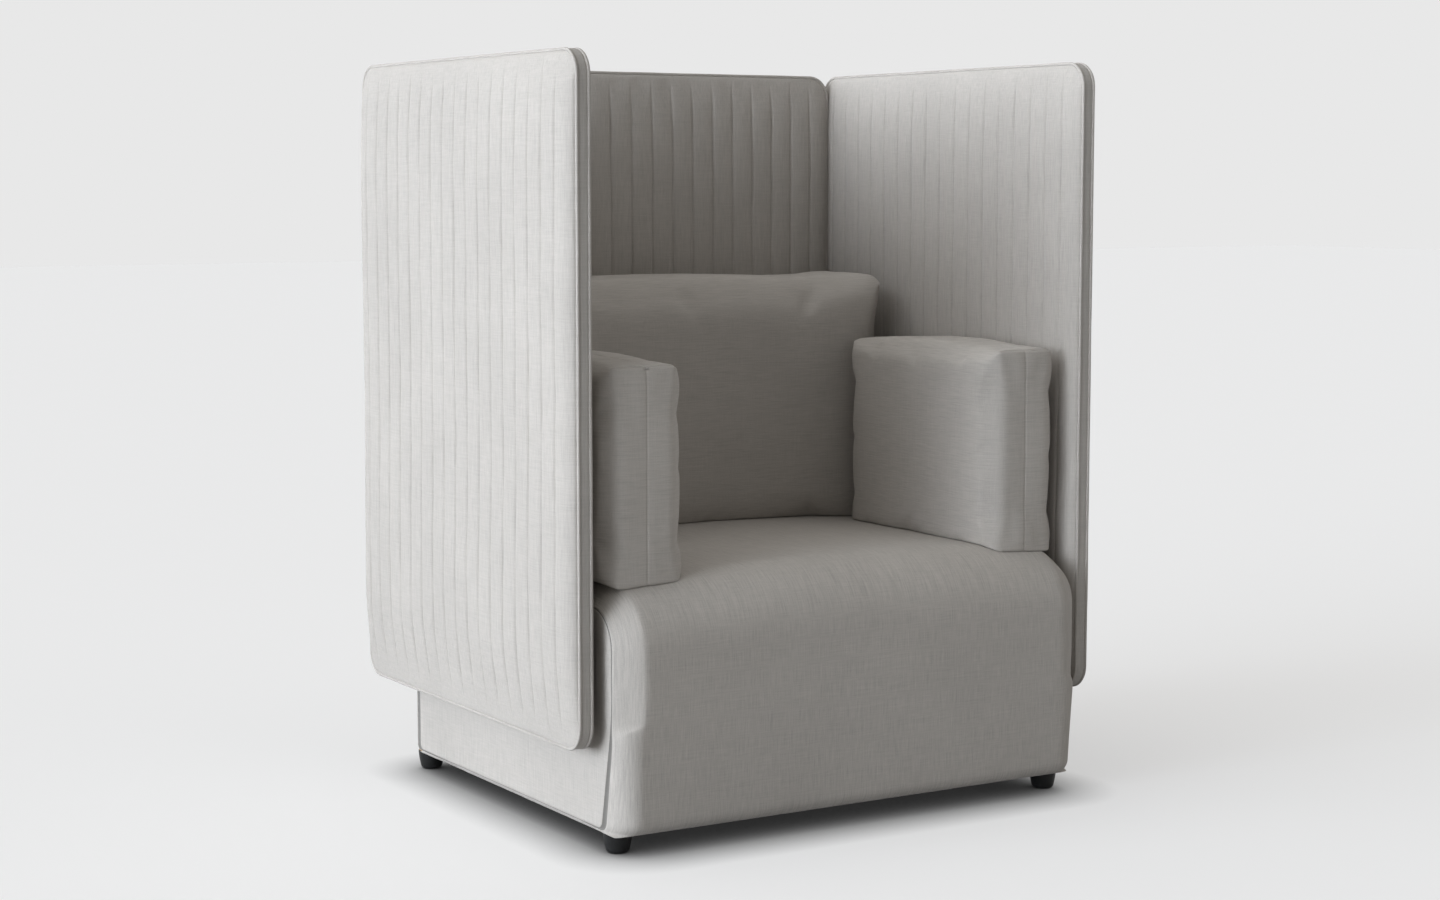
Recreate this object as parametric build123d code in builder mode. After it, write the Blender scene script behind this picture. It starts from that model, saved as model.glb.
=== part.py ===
from build123d import *
import os

os.makedirs("parts", exist_ok=True)

# High back lounge chair: an upholstered seat base on four feet, three quilted
# screens bolted round it, and three loose cushions.
# Origin: on the floor, under the middle of the chair. +X is to the right seen
# from the front, +Y runs to the back and +Z is up. All sizes are in millimetres.

# ---------------------------------------------------------------- seat base
base_width = 978            # over the flat side covers
base_depth = 853            # front face to rear face
foot_height = 35.3          # floor to the underside of the base
seat_height = 475           # top of the crown, in the middle
seat_dome = 21              # how much lower the crown is at the sides
top_corner = 34             # rounding between the top and the sides
front_corner = 34           # upright rounding at the front
rear_corner = 52            # upright rounding at the back
base_edge = 8               # rounding along the bottom of the sides
front_top_radius = 115      # roll over the front of the seat
rear_top_radius = 75
front_foot_radius = 30      # tuck under the front face
front_lean = 8              # the front face draws back towards the floor
belly_height = 235          # height where that lean starts
belly_radius = 420
cover_thick = 2
overrun = 1                 # how far a cutting shape runs past what it cuts
seam_corner = 60            # rounding of the sewn outline of a side cover
seam_lean = 36              # its front edge draws back towards the floor
seam_margin = 1
seam_foot_corner = 15       # its two lower corners

# seat frame
seat_foam_depth = 145       # crown of the seat to the top of the boards
board_thick = 12
front_pad = 34
rear_pad = 8
side_pad = 6
rail_width = 50
rail_height = 28
post_size = 40
rear_screw_inset = 24       # rear posts' screws, from the rear board
post_screw_inset = 13       # screws into a post, from the side board
screw_stagger = 9           # height between the screws that cross in a post
centre_rail_width = 40
board_chamfer = 20          # lower front corner of the side boards
front_board_chamfer = 4
strap_width = 50
strap_thick = 1.6
lengthwise_count = 6
crosswise_count = 6
felt_thick = 3
felt_corner = 60
dust_thick = 1
under_lip = 20              # cover turned under the boards
lining_air = 1              # dust cover to the edge of that opening

# feet
foot_inset_x = 33           # side of the base to the middle of a foot
foot_inset_front = 75
foot_inset_rear = 33
foot_top_radius = 25
foot_contact_radius = 14
foot_rim = 7                # straight band at the top of the cup
foot_edge = 2
stud_radius = 4
stud_air = 1                # hole in the covers round a stud
stud_above = 24             # stud above the top of the foot
stud_below = 14             # stud moulded into the foot

# ------------------------------------------------------------------ screens
overall_height = 1350
screen_hang = 149           # top of the boards to the lower edge of the screens
screen_setback = 53         # front of the base to the front edge of a side screen
screen_corner = 45
screen_lap = 6.6            # side screens run on behind the back screen
side_gap = 11               # base to the crown of a side screen
back_gap = 17               # base to the crown of the back screen
corner_relief = 9.5         # end of the back screen to the plane of the piping
screen_board_thick = 12
screen_pad = 2
band_thick = 2.5
band_fit = 0.2
piping_radius = 3
piping_seat = 0.2           # air round the piping
piping_tuck = 2             # middle of the piping inside the outline
inner_crown = 12            # fullness of the face that the sitter sees
outer_crown = 18
back_outer_crown = 12.6
crown_drop = 1.2            # rim of the quilted face below the piping
shoulder = 110              # band over which a face turns in to its sides and top
foot_shoulder = 185         # the same at its lower edge
channel_pitch = 47.5
channel_bulge = 4
crown_margin = 1            # keeps two crowns that cross from touching at the top

# fixings
bolt_radius = 4
bolt_head_flats = 13        # across the flats of its hexagon head
bolt_head_height = 5.3
hole_fit = 0.1
spacer_radius = 10
nut_flange_radius = 10
nut_flange_thick = 1.5
nut_barrel_radius = 5
nut_barrel_length = 9
bolt_drop = 30              # top of the boards to the upper row of screen bolts
bolt_rows = 75              # between the two rows
side_bolt_spread = 260
back_bolt_spread = 250
pin_radius = 3
pin_in_back = 30
pin_in_side = 10
pin_from_end = 120          # first and last pin, from the ends of the screens
screw_radius = 2.5
screw_head_radius = 4.5
screw_head_slope = 45       # countersunk, so the head tapers into the shank
screw_length = 42
screw_low = 115             # height of the lower frame screws
screw_drop = 60             # top of the boards to the upper ones

# ----------------------------------------------------------------- cushions
cushion_skin = 1.5
seat_clear = 0.3            # loose cushion to the seat
bow_margin = 2              # between the two crowns that meet on one face
arm_setback = 59.5          # front of the base to the front end of an arm cushion
arm_inset = 89              # side of the base to the middle of an arm cushion
arm_thick = 116             # between its corners
arm_sink = 29               # its lower corners, below the crown of the seat
arm_height = 378
arm_bow = 16                # how far its faces stand out in the middle
arm_end_bow = 4
arm_top_bow = 18
arm_corner = 13
back_depth = 299.7          # fullest point of its front to that of its rear
back_side_room = 37         # its ends to the crowns of the side screens
back_to_arm = 14            # its front to the rear ends of the arm cushions
back_clear = 0.8            # back cushion to the back screen
back_bow = 18
back_end_bow = 5
back_sink = 35
back_height = 490
back_top_bow = 28
back_corner = 30

# ------------------------------------------------------------ worked out
screen_core = screen_board_thick + 2 * screen_pad
piping_height = 2 * piping_radius + piping_seat
screen_half = screen_core / 2 + piping_height
cover_inset = piping_tuck + piping_radius + piping_seat
back_stack = back_gap + inner_crown + 2 * screen_half + back_outer_crown
overall_depth = base_depth + back_stack
base_front = -overall_depth / 2
base_rear = base_front + base_depth
base_half = base_width / 2
base_middle_y = (base_front + base_rear) / 2
side_screen_x = base_half + side_gap + inner_crown + screen_half
back_screen_y = base_rear + back_gap + inner_crown + screen_half
back_screen_half = side_screen_x - screen_half - corner_relief
screen_rear = back_screen_y + screen_half + screen_lap
side_screen_depth = screen_rear - base_front - screen_setback
side_screen_y = screen_rear - side_screen_depth / 2
frame_top = seat_height - seat_foam_depth
screen_bottom = frame_top - screen_hang
screen_height = overall_height - screen_bottom
screen_middle_z = screen_bottom + screen_height / 2
bolt_high = frame_top - bolt_drop
bolt_low = bolt_high - bolt_rows
pin_heights = (screen_bottom + pin_from_end, screen_middle_z, overall_height - pin_from_end)
screw_heights = (screw_low, frame_top - screw_drop)
frame_bottom = foot_height + cover_thick
board_out = base_half - cover_thick - side_pad
board_in = board_out - board_thick
front_board_y = base_front + cover_thick + front_pad
rear_board_y = base_rear - cover_thick - rear_pad
front_inner_y = front_board_y + board_thick
rear_inner_y = rear_board_y - board_thick
rail_top = frame_bottom + rail_height
side_board_rear = rear_inner_y - board_thick + rear_pad / 2
strap_top = frame_top + 2 * strap_thick
felt_top = strap_top + felt_thick


def save(piece, name):
    """Name a finished piece and write it out."""
    piece.part.label = name
    export_step(piece.part, f"parts/{name}.step")


def block(x, y, z):
    """A plain rectangular block between two X, two Y and two Z values."""
    with BuildPart() as piece:
        with BuildSketch(Plane.XY.offset(z[0])):
            with Locations(((x[0] + x[1]) / 2, (y[0] + y[1]) / 2)):
                Rectangle(x[1] - x[0], y[1] - y[0])
        extrude(amount=z[1] - z[0])
    return piece.part


def rod(start, end, radius):
    """A round bar between two points, or the hole that takes it."""
    run = Vector(*end) - Vector(*start)
    with BuildPart() as bar:
        with BuildSketch(Plane(origin=start, z_dir=run)):
            Circle(radius)
        extrude(amount=run.length)
    return bar.part


# ------------------------------------------------------------ fixing points
# Each screen bolt runs straight out from a board of the seat frame.
side_bolts = [
    (side, y, z)
    for side in (-1, 1)
    for y in (base_middle_y - side_bolt_spread, base_middle_y + side_bolt_spread)
    for z in (bolt_low, bolt_high)
]
back_bolts = [
    (x, z) for x in (-back_bolt_spread, back_bolt_spread) for z in (bolt_low, bolt_high)
]
side_nut_x = side_screen_x + screen_board_thick / 2
back_nut_y = back_screen_y + screen_board_thick / 2
bolt_lines = [
    ((side * board_in, y, z), (side * side_nut_x, y, z)) for side, y, z in side_bolts
] + [((x, rear_inner_y, z), (x, back_nut_y, z)) for x, z in back_bolts]
spacer_lines = [
    ((side * board_out, y, z), (side * (side_screen_x - screen_board_thick / 2), y, z))
    for side, y, z in side_bolts
] + [
    ((x, rear_board_y, z), (x, back_screen_y - screen_board_thick / 2, z))
    for x, z in back_bolts
]
pin_lines = [
    (
        (side * (back_screen_half - pin_in_back), back_screen_y, z),
        (side * (side_screen_x - screen_board_thick / 2 + pin_in_side), back_screen_y, z),
    )
    for side in (-1, 1)
    for z in pin_heights
]
foot_spots = {
    "foot_front_left": (-base_half + foot_inset_x, base_front + foot_inset_front),
    "foot_front_right": (base_half - foot_inset_x, base_front + foot_inset_front),
    "foot_rear_left": (-base_half + foot_inset_x, base_rear - foot_inset_rear),
    "foot_rear_right": (base_half - foot_inset_x, base_rear - foot_inset_rear),
}
screw_lines = [
    ((side * board_out, y, z), (side * (board_out - screw_length), y, z))
    for side in (-1, 1)
    for y in (front_inner_y + post_size / 2, rear_inner_y - rear_screw_inset)
    for z in screw_heights
] + [
    (
        (side * (board_in - post_screw_inset), y, z + screw_stagger),
        (side * (board_in - post_screw_inset), y + run, z + screw_stagger),
    )
    for side in (-1, 1)
    for y, run in ((front_board_y, screw_length), (rear_board_y, -screw_length))
    for z in screw_heights
]


def drill(lines, radius):
    """Every hole of one kind, as one shape to cut with."""
    with BuildPart() as holes:
        for start, end in lines:
            add(rod(start, end, radius))
    return holes.part


bolt_holes = drill(bolt_lines, bolt_radius + hole_fit)
spacer_holes = drill(spacer_lines, spacer_radius + hole_fit)
pin_holes = drill(pin_lines, pin_radius + hole_fit)


# -------------------------------------------------------------- seat shape
def base_block(inset):
    """The whole upholstered block, brought in by inset all round.

    It is the overlap of three runs: the rolled front seen from the side, the
    crowned top seen from the front, and the rounded corners seen from above.
    """
    half = base_half - inset
    front = base_front + inset
    rear = base_rear - inset
    under = foot_height + inset
    top = seat_height - inset
    side_top = top - seat_dome
    depth = rear - front
    from_side = Plane(origin=(-half, 0, 0), x_dir=(0, 1, 0), z_dir=(1, 0, 0))
    from_front = Plane(origin=(0, rear, 0), x_dir=(1, 0, 0), z_dir=(0, -1, 0))
    with BuildSketch(from_side) as side_view:
        with BuildLine():
            FilletPolyline(
                (front + front_lean, under),
                (front, belly_height),
                (front, top + crown_margin),
                (rear, top + crown_margin),
                (rear, under),
                radius=[
                    front_foot_radius - inset,
                    belly_radius,
                    front_top_radius - inset,
                    rear_top_radius - inset,
                    base_edge - inset,
                ],
                close=True,
            )
        make_face()
    with BuildSketch(from_front) as front_view:
        with BuildLine():
            ThreePointArc((half, side_top), (0, top), (-half, side_top))
            Polyline((-half, side_top), (-half, under), (half, under), (half, side_top))
        make_face()
        fillet(front_view.vertices().group_by(Axis.Y)[0], base_edge - inset)
        fillet(front_view.vertices().group_by(Axis.Y)[-1], top_corner - inset)
    with BuildSketch(Plane.XY) as from_above:
        with BuildLine():
            FilletPolyline(
                (-half, front),
                (half, front),
                (half, rear),
                (-half, rear),
                radius=[
                    front_corner - inset,
                    front_corner - inset,
                    rear_corner - inset,
                    rear_corner - inset,
                ],
                close=True,
            )
        make_face()
    with BuildPart() as shape:
        extrude(from_above.sketch, amount=2 * top, dir=(0, 0, 1))
        extrude(side_view.sketch, amount=2 * half, dir=(1, 0, 0), mode=Mode.INTERSECT)
        extrude(front_view.sketch, amount=depth, dir=(0, -1, 0), mode=Mode.INTERSECT)
    return shape.part


base_outer = base_block(0)
base_inner = base_block(cover_thick)


def side_seam(side):
    """The sewn outline of the flat cover on one side of the seat."""
    flat_front = base_front + front_corner + seam_margin
    flat_rear = base_rear - rear_corner - seam_margin
    flat_low = foot_height + base_edge + seam_margin
    flat_high = seat_height - seat_dome - top_corner - seam_margin
    face = Plane(origin=(side * base_half, 0, 0), x_dir=(0, 1, 0), z_dir=(1, 0, 0))
    with BuildSketch(face) as seam:
        with BuildLine():
            FilletPolyline(
                (flat_front + seam_lean, flat_low),
                (flat_front, belly_height),
                (flat_front, flat_high),
                (flat_rear, flat_high),
                (flat_rear, flat_low),
                radius=[
                    seam_foot_corner, belly_radius, seam_corner, seam_corner, seam_foot_corner
                ],
                close=True,
            )
        make_face()
    return seam.sketch

# ------------------------------------------------------------- seat covers
with BuildPart() as seat_cover_wrap:
    add(base_outer)
    add(base_inner, mode=Mode.SUBTRACT)
    for side in (-1, 1):
        extrude(side_seam(side), amount=cover_thick, dir=(-side, 0, 0), mode=Mode.SUBTRACT)
    with BuildSketch(Plane.XY.offset(foot_height - overrun)):
        with Locations((0, (front_board_y + rear_board_y) / 2)):
            Rectangle(
                2 * (board_out - under_lip),
                rear_board_y - front_board_y - 2 * under_lip,
            )
        with Locations(*foot_spots.values()):
            Circle(stud_radius + stud_air)
    extrude(amount=cover_thick + 2 * overrun, mode=Mode.SUBTRACT)
    add(spacer_holes, mode=Mode.SUBTRACT)
save(seat_cover_wrap, "seat_cover_wrap")

for side, name in ((-1, "seat_cover_left"), (1, "seat_cover_right")):
    with BuildPart() as side_cover:
        extrude(side_seam(side), amount=cover_thick, dir=(-side, 0, 0))
        add(spacer_holes, mode=Mode.SUBTRACT)
    save(side_cover, name)

with BuildPart() as dust_cover:
    with BuildSketch(Plane.XY.offset(frame_bottom - dust_thick)):
        with Locations((0, (front_board_y + rear_board_y) / 2)):
            Rectangle(
                2 * (board_out - under_lip - lining_air),
                rear_board_y - front_board_y - 2 * (under_lip + lining_air),
            )
        with Locations(*foot_spots.values()):
            Circle(stud_radius + stud_air, mode=Mode.SUBTRACT)
    extrude(amount=dust_thick)
save(dust_cover, "dust_cover")

# --------------------------------------------------------------- seat foam
far = 2 * base_width        # well outside the chair, for the cutting blocks

with BuildPart() as seat_foam:
    add(base_inner)
    add(block((-far, far), (-far, far), (-far, felt_top)), mode=Mode.SUBTRACT)
save(seat_foam, "seat_foam")

with BuildPart() as front_foam:
    add(base_inner)
    add(block((-far, far), (-far, front_board_y), (-far, felt_top)), mode=Mode.INTERSECT)
save(front_foam, "front_foam")

with BuildPart() as rear_foam:
    add(base_inner)
    add(
        block((-board_out, board_out), (side_board_rear, far), (-far, felt_top)),
        mode=Mode.INTERSECT,
    )
    add(
        block((-board_in, board_in), (-far, rear_inner_y), (-far, far)), mode=Mode.SUBTRACT
    )
    add(
        block(
            (-board_in + rear_pad, board_in - rear_pad), (-far, rear_board_y), (-far, far)
        ),
        mode=Mode.SUBTRACT,
    )
    add(spacer_holes, mode=Mode.SUBTRACT)
save(rear_foam, "rear_foam")

for side, name in ((-1, "left_side_foam"), (1, "right_side_foam")):
    with BuildPart() as side_foam:
        add(base_inner)
        add(
            block(
                sorted((side * board_out, side * far)), (front_board_y, far), (-far, felt_top)
            ),
            mode=Mode.INTERSECT,
        )
        add(spacer_holes, mode=Mode.SUBTRACT)
    save(side_foam, name)

with BuildPart() as webbing_felt:
    with BuildSketch(Plane.XY.offset(strap_top)):
        with Locations((0, (front_board_y + rear_board_y) / 2)):
            RectangleRounded(2 * board_out, rear_board_y - front_board_y, felt_corner)
    extrude(amount=felt_thick)
save(webbing_felt, "webbing_felt")

# --------------------------------------------------------- webbing, two layers
with BuildPart() as lengthwise_straps:
    with BuildSketch(Plane.XY.offset(frame_top)):
        with Locations((0, (front_board_y + rear_board_y) / 2)):
            with GridLocations(2 * board_in / (lengthwise_count + 0.5), 0, lengthwise_count, 1):
                Rectangle(strap_width, rear_board_y - front_board_y)
    extrude(amount=strap_thick)
save(lengthwise_straps, "lengthwise_straps")

strap_room = side_board_rear - front_inner_y
with BuildPart() as crosswise_straps:
    with BuildSketch(Plane.XY.offset(frame_top + strap_thick)):
        with Locations((0, (side_board_rear + front_inner_y) / 2)):
            with GridLocations(0, strap_room / (crosswise_count + 0.5), 1, crosswise_count):
                Rectangle(2 * board_out, strap_width)
    extrude(amount=strap_thick)
save(crosswise_straps, "crosswise_straps")

# -------------------------------------------------------------- seat frame
with BuildPart() as frame_screws:
    for start, end in screw_lines:
        run = Vector(*end) - Vector(*start)
        with BuildSketch(Plane(origin=start, z_dir=run)):
            Circle(screw_radius)
        extrude(amount=run.length)
        with BuildSketch(Plane(origin=start, z_dir=run)):
            Circle(screw_head_radius)
        extrude(amount=screw_head_radius - screw_radius, taper=screw_head_slope)
save(frame_screws, "frame_screws")

screw_holes = drill(screw_lines, screw_radius + hole_fit)
with BuildPart() as screw_recesses:
    for start, end in screw_lines:
        with BuildSketch(Plane(origin=start, z_dir=Vector(*end) - Vector(*start))):
            Circle(screw_head_radius + hole_fit)
        extrude(amount=screw_head_radius - screw_radius, taper=screw_head_slope)
screw_cuts = screw_holes + screw_recesses.part

for y0, y1, half, name in (
    (front_board_y, front_inner_y, board_in, "front_board"),
    (rear_inner_y, rear_board_y, board_in - rear_pad, "rear_board"),
):
    with BuildPart() as board:
        add(block((-half, half), (y0, y1), (frame_bottom, frame_top)))
        outer_side = board.faces().sort_by(Axis.Y)[0 if y0 == front_board_y else -1]
        chamfer(outer_side.edges().sort_by(Axis.Z)[0], front_board_chamfer)
        add(bolt_holes, mode=Mode.SUBTRACT)
        add(screw_cuts, mode=Mode.SUBTRACT)
    save(board, name)

for side, name in ((-1, "left_board"), (1, "right_board")):
    with BuildPart() as board:
        add(
            block(
                sorted((side * board_in, side * board_out)),
                (front_board_y, side_board_rear),
                (frame_bottom, frame_top + strap_thick),
            )
        )
        lower_front = board.edges().filter_by(Axis.X).group_by(Axis.Z)[0].sort_by(Axis.Y)[0]
        chamfer(lower_front, board_chamfer)
        add(bolt_holes, mode=Mode.SUBTRACT)
        add(screw_cuts, mode=Mode.SUBTRACT)
    save(board, name)

# The foot studs come up through the front and rear rails into tee nuts.
with BuildPart() as stud_holes:
    for x, y in foot_spots.values():
        add(
            rod(
                (x, y, frame_bottom - overrun),
                (x, y, rail_top + overrun),
                nut_barrel_radius + hole_fit,
            )
        )
        add(
            rod(
                (x, y, rail_top - nut_flange_thick),
                (x, y, rail_top + overrun),
                nut_flange_radius + hole_fit,
            )
        )

for y0, y1, name in (
    (front_inner_y, front_inner_y + rail_width, "front_rail"),
    (rear_inner_y - rail_width, rear_inner_y, "rear_rail"),
):
    with BuildPart() as rail:
        add(block((-board_in, board_in), (y0, y1), (frame_bottom, rail_top)))
        add(stud_holes.part, mode=Mode.SUBTRACT)
    save(rail, name)

rail_span = (front_inner_y + rail_width, rear_inner_y - rail_width)
for x0, x1, name in (
    (-board_in, rail_width - board_in, "left_rail"),
    (-centre_rail_width / 2, centre_rail_width / 2, "centre_rail"),
    (board_in - rail_width, board_in, "right_rail"),
):
    with BuildPart() as rail:
        add(block((x0, x1), rail_span, (frame_bottom, rail_top)))
    save(rail, name)

with BuildPart() as corner_posts:
    with BuildSketch(Plane.XY.offset(rail_top)):
        with Locations((0, (front_inner_y + rear_inner_y) / 2)):
            with GridLocations(
                2 * board_in - post_size, rear_inner_y - front_inner_y - post_size, 2, 2
            ):
                Rectangle(post_size, post_size)
    extrude(amount=frame_top - rail_top)
    add(screw_holes, mode=Mode.SUBTRACT)
save(corner_posts, "corner_posts")

# -------------------------------------------------------------------- feet
for name, (x, y) in foot_spots.items():
    with BuildPart() as foot:
        with BuildSketch(Plane(origin=(x, y, 0), x_dir=(1, 0, 0), z_dir=(0, -1, 0))) as cup:
            with BuildLine():
                Polyline(
                    (0, 0),
                    (foot_contact_radius, 0),
                    (foot_top_radius, foot_height - foot_rim),
                    (foot_top_radius, foot_height),
                    (0, foot_height),
                    close=True,
                )
            make_face()
            chamfer(cup.vertices().group_by(Axis.X)[-1], foot_edge)
        revolve(axis=Axis((x, y, 0), (0, 0, 1)))
        add(
            rod(
                (x, y, foot_height - stud_below), (x, y, foot_height + overrun), stud_radius
            ),
            mode=Mode.SUBTRACT,
        )
    save(foot, name)

with BuildPart() as foot_studs:
    for x, y in foot_spots.values():
        add(
            rod(
                (x, y, foot_height - stud_below), (x, y, foot_height + stud_above), stud_radius
            )
        )
save(foot_studs, "foot_studs")


# ---------------------------------------------------------------- fasteners
def tee_nut(seat, way):
    """A tee nut whose flange lies on seat, with its barrel running along way."""
    way = Vector(*way)
    with BuildPart() as nut:
        with BuildSketch(Plane(origin=Vector(*seat) - way * nut_flange_thick, z_dir=way)):
            Circle(nut_flange_radius)
        extrude(amount=nut_flange_thick)
        with BuildSketch(Plane(origin=seat, z_dir=way)):
            Circle(nut_barrel_radius)
        extrude(amount=nut_barrel_length)
        with BuildSketch(Plane(origin=Vector(*seat) - way * nut_flange_thick, z_dir=way)):
            Circle(bolt_radius + hole_fit)
        extrude(amount=nut_flange_thick + nut_barrel_length, mode=Mode.SUBTRACT)
    return nut.part


nut_seats = [((side * side_nut_x, y, z), (-side, 0, 0)) for side, y, z in side_bolts]
nut_seats += [((x, back_nut_y, z), (0, -1, 0)) for x, z in back_bolts]
nut_seats += [((x, y, rail_top - nut_flange_thick), (0, 0, -1)) for x, y in foot_spots.values()]
nuts = [tee_nut(seat, way) for seat, way in nut_seats]
with BuildPart() as tee_nuts:
    for nut in nuts:
        add(nut)
save(tee_nuts, "tee_nuts")

with BuildPart() as screen_bolts:
    for start, end in bolt_lines:
        run = Vector(*end) - Vector(*start)
        way = run.normalized()
        head = Plane(origin=Vector(*start) - way * bolt_head_height, z_dir=way)
        with BuildSketch(Plane(origin=start, z_dir=run)):
            Circle(bolt_radius)
        extrude(amount=run.length)
        with BuildSketch(head):
            RegularPolygon(bolt_head_flats / 2, 6, major_radius=False)
        extrude(amount=bolt_head_height)
save(screen_bolts, "screen_bolts")

with BuildPart() as screen_spacers:
    add(drill(spacer_lines, spacer_radius))
    add(bolt_holes, mode=Mode.SUBTRACT)
save(screen_spacers, "screen_spacers")

with BuildPart() as corner_pins:
    for start, end in pin_lines:
        add(rod(start, end, pin_radius))
save(corner_pins, "corner_pins")


# ------------------------------------------------------------------ screens
def screen_outline(plane, width, inset):
    """The rounded outline of a screen, brought in by inset."""
    with BuildSketch(plane) as outline:
        RectangleRounded(width - 2 * inset, screen_height - 2 * inset, screen_corner - inset)
    return outline.sketch


def swelling(distance):
    """Fullness of a quilted face, from 0 at its edge to 1 past its shoulder."""
    return 1 - (max(shoulder - distance, 0) / shoulder) ** 2


def quilted_cover(centre, out, width, crown):
    """A cover with sewn upright channels, flat behind and crowned in front.

    It is the overlap of three runs: the row of channels seen from above, the
    crown seen from the end, and the rounded outline seen from the front.
    """
    out = Vector(*out)
    up = Vector(0, 0, 1)
    across = up.cross(out)
    back = Vector(*centre) + out * (screen_core / 2)
    half_width = width / 2 - cover_inset + crown_margin
    half_height = screen_height / 2 - cover_inset + crown_margin
    rim = piping_height - crown_drop
    peak = piping_height + crown
    valley = peak - channel_bulge
    count = round(2 * half_width / channel_pitch)
    pitch = 2 * half_width / count
    stitches = []
    for number in range(count + 1):
        place = number * pitch - half_width
        rise = (valley - rim) * swelling(half_width - abs(place))
        stitches.append((place, rim + rise))
    with BuildSketch(Plane(origin=back, x_dir=across, z_dir=across.cross(out))) as channels:
        with BuildLine():
            for (x0, y0), (x1, y1) in zip(stitches, stitches[1:]):
                ThreePointArc(
                    (x0, y0), ((x0 + x1) / 2, (y0 + y1) / 2 + channel_bulge), (x1, y1)
                )
            Polyline(stitches[-1], (half_width, 0), (-half_width, 0), stitches[0])
        make_face()
    flat_top = half_height - shoulder
    flat_foot = foot_shoulder - half_height
    level = peak + crown_margin
    end = back - across * half_width
    with BuildSketch(Plane(origin=end, x_dir=up, z_dir=across)) as crowned:
        with BuildLine():
            Line((flat_foot, level), (flat_top, level))
            TangentArc((flat_top, level), (half_height, rim), tangent=(1, 0))
            TangentArc((flat_foot, level), (-half_height, rim), tangent=(-1, 0))
            Polyline((half_height, rim), (half_height, 0), (-half_height, 0), (-half_height, rim))
        make_face()
    face = screen_outline(Plane(origin=back, x_dir=across, z_dir=out), width, cover_inset)
    with BuildPart() as cover:
        extrude(channels.sketch, amount=half_height, both=True)
        extrude(crowned.sketch, amount=2 * half_width, dir=across, mode=Mode.INTERSECT)
        extrude(face, amount=2 * peak, dir=out, mode=Mode.INTERSECT)
    return cover.part


def make_screen(name, centre, out, width, full):
    """All the pieces of one screen. full is the crown of its outer face."""
    out = Vector(*out)
    across = Vector(0, 0, 1).cross(out)
    half_core = screen_core / 2
    half_board = screen_board_thick / 2

    def plane(height):
        return Plane(origin=Vector(*centre) + out * height, x_dir=across, z_dir=out)

    core_inset = band_thick + band_fit
    board_face = screen_outline(plane(0), width, core_inset)
    with BuildPart() as board:
        extrude(board_face, amount=half_board, both=True)
        add(bolt_holes, mode=Mode.SUBTRACT)
        add(nut_holes, mode=Mode.SUBTRACT)
        add(pin_holes, mode=Mode.SUBTRACT)
    save(board, f"{name}_board")

    for low, layer in ((-half_core, "inner_foam"), (half_board, "outer_foam")):
        with BuildPart() as foam:
            extrude(screen_outline(plane(low), width, core_inset), amount=screen_pad)
            add(spacer_holes, mode=Mode.SUBTRACT)
            add(nut_holes, mode=Mode.SUBTRACT)
            add(pin_holes, mode=Mode.SUBTRACT)
        save(foam, f"{name}_{layer}")

    for way, crown, layer in ((-1, inner_crown, "inner_cover"), (1, full, "outer_cover")):
        quilt = quilted_cover(centre, out * way, width, crown)
        with BuildPart() as cover:
            add(quilt)
            add(spacer_holes, mode=Mode.SUBTRACT)
            add(pin_holes, mode=Mode.SUBTRACT)
        save(cover, f"{name}_{layer}")

    with BuildPart() as band:
        extrude(screen_outline(plane(-half_core), width, 0), amount=screen_core)
        extrude(
            screen_outline(plane(-half_core), width, band_thick),
            amount=screen_core,
            mode=Mode.SUBTRACT,
        )
        add(pin_holes, mode=Mode.SUBTRACT)
    save(band, f"{name}_edge_band")

    turn = screen_corner - piping_tuck
    half_run = width / 2 - screen_corner
    half_rise = screen_height / 2 - screen_corner
    with BuildPart() as piping:
        for way in (-1, 1):
            level = plane(way * (half_core + piping_seat + piping_radius))
            for x, y, along in (
                (half_run + turn, -half_rise, (0, 1, 0)),
                (half_run, half_rise + turn, (-1, 0, 0)),
                (-half_run - turn, half_rise, (0, -1, 0)),
                (-half_run, -half_rise - turn, (1, 0, 0)),
            ):
                start = level.from_local_coords((x, y, 0))
                run = level.from_local_coords((x + along[0], y + along[1], 0)) - start
                length = 2 * (half_rise if along[1] else half_run)
                with BuildSketch(Plane(origin=start, z_dir=run)):
                    Circle(piping_radius)
                extrude(amount=length)
                with BuildSketch(Plane(origin=start + run * length, z_dir=run)):
                    Circle(piping_radius)
                hub = start + run * length + run.cross(level.z_dir) * -turn
                revolve(axis=Axis(hub, level.z_dir), revolution_arc=90)
    save(piping, f"{name}_piping")


with BuildPart() as nut_pockets:
    for seat, way in nut_seats[: len(bolt_lines)]:
        way = Vector(*way)
        add(rod(seat, Vector(*seat) + way * nut_barrel_length, nut_barrel_radius + hole_fit))
        add(
            rod(
                Vector(*seat) - way * nut_flange_thick, seat, nut_flange_radius + hole_fit
            )
        )
nut_holes = nut_pockets.part

make_screen(
    "left_screen",
    (-side_screen_x, side_screen_y, screen_middle_z),
    (-1, 0, 0),
    side_screen_depth,
    outer_crown,
)
make_screen(
    "right_screen",
    (side_screen_x, side_screen_y, screen_middle_z),
    (1, 0, 0),
    side_screen_depth,
    outer_crown,
)
make_screen(
    "back_screen",
    (0, back_screen_y, screen_middle_z),
    (0, 1, 0),
    2 * back_screen_half,
    back_outer_crown,
)


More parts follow.
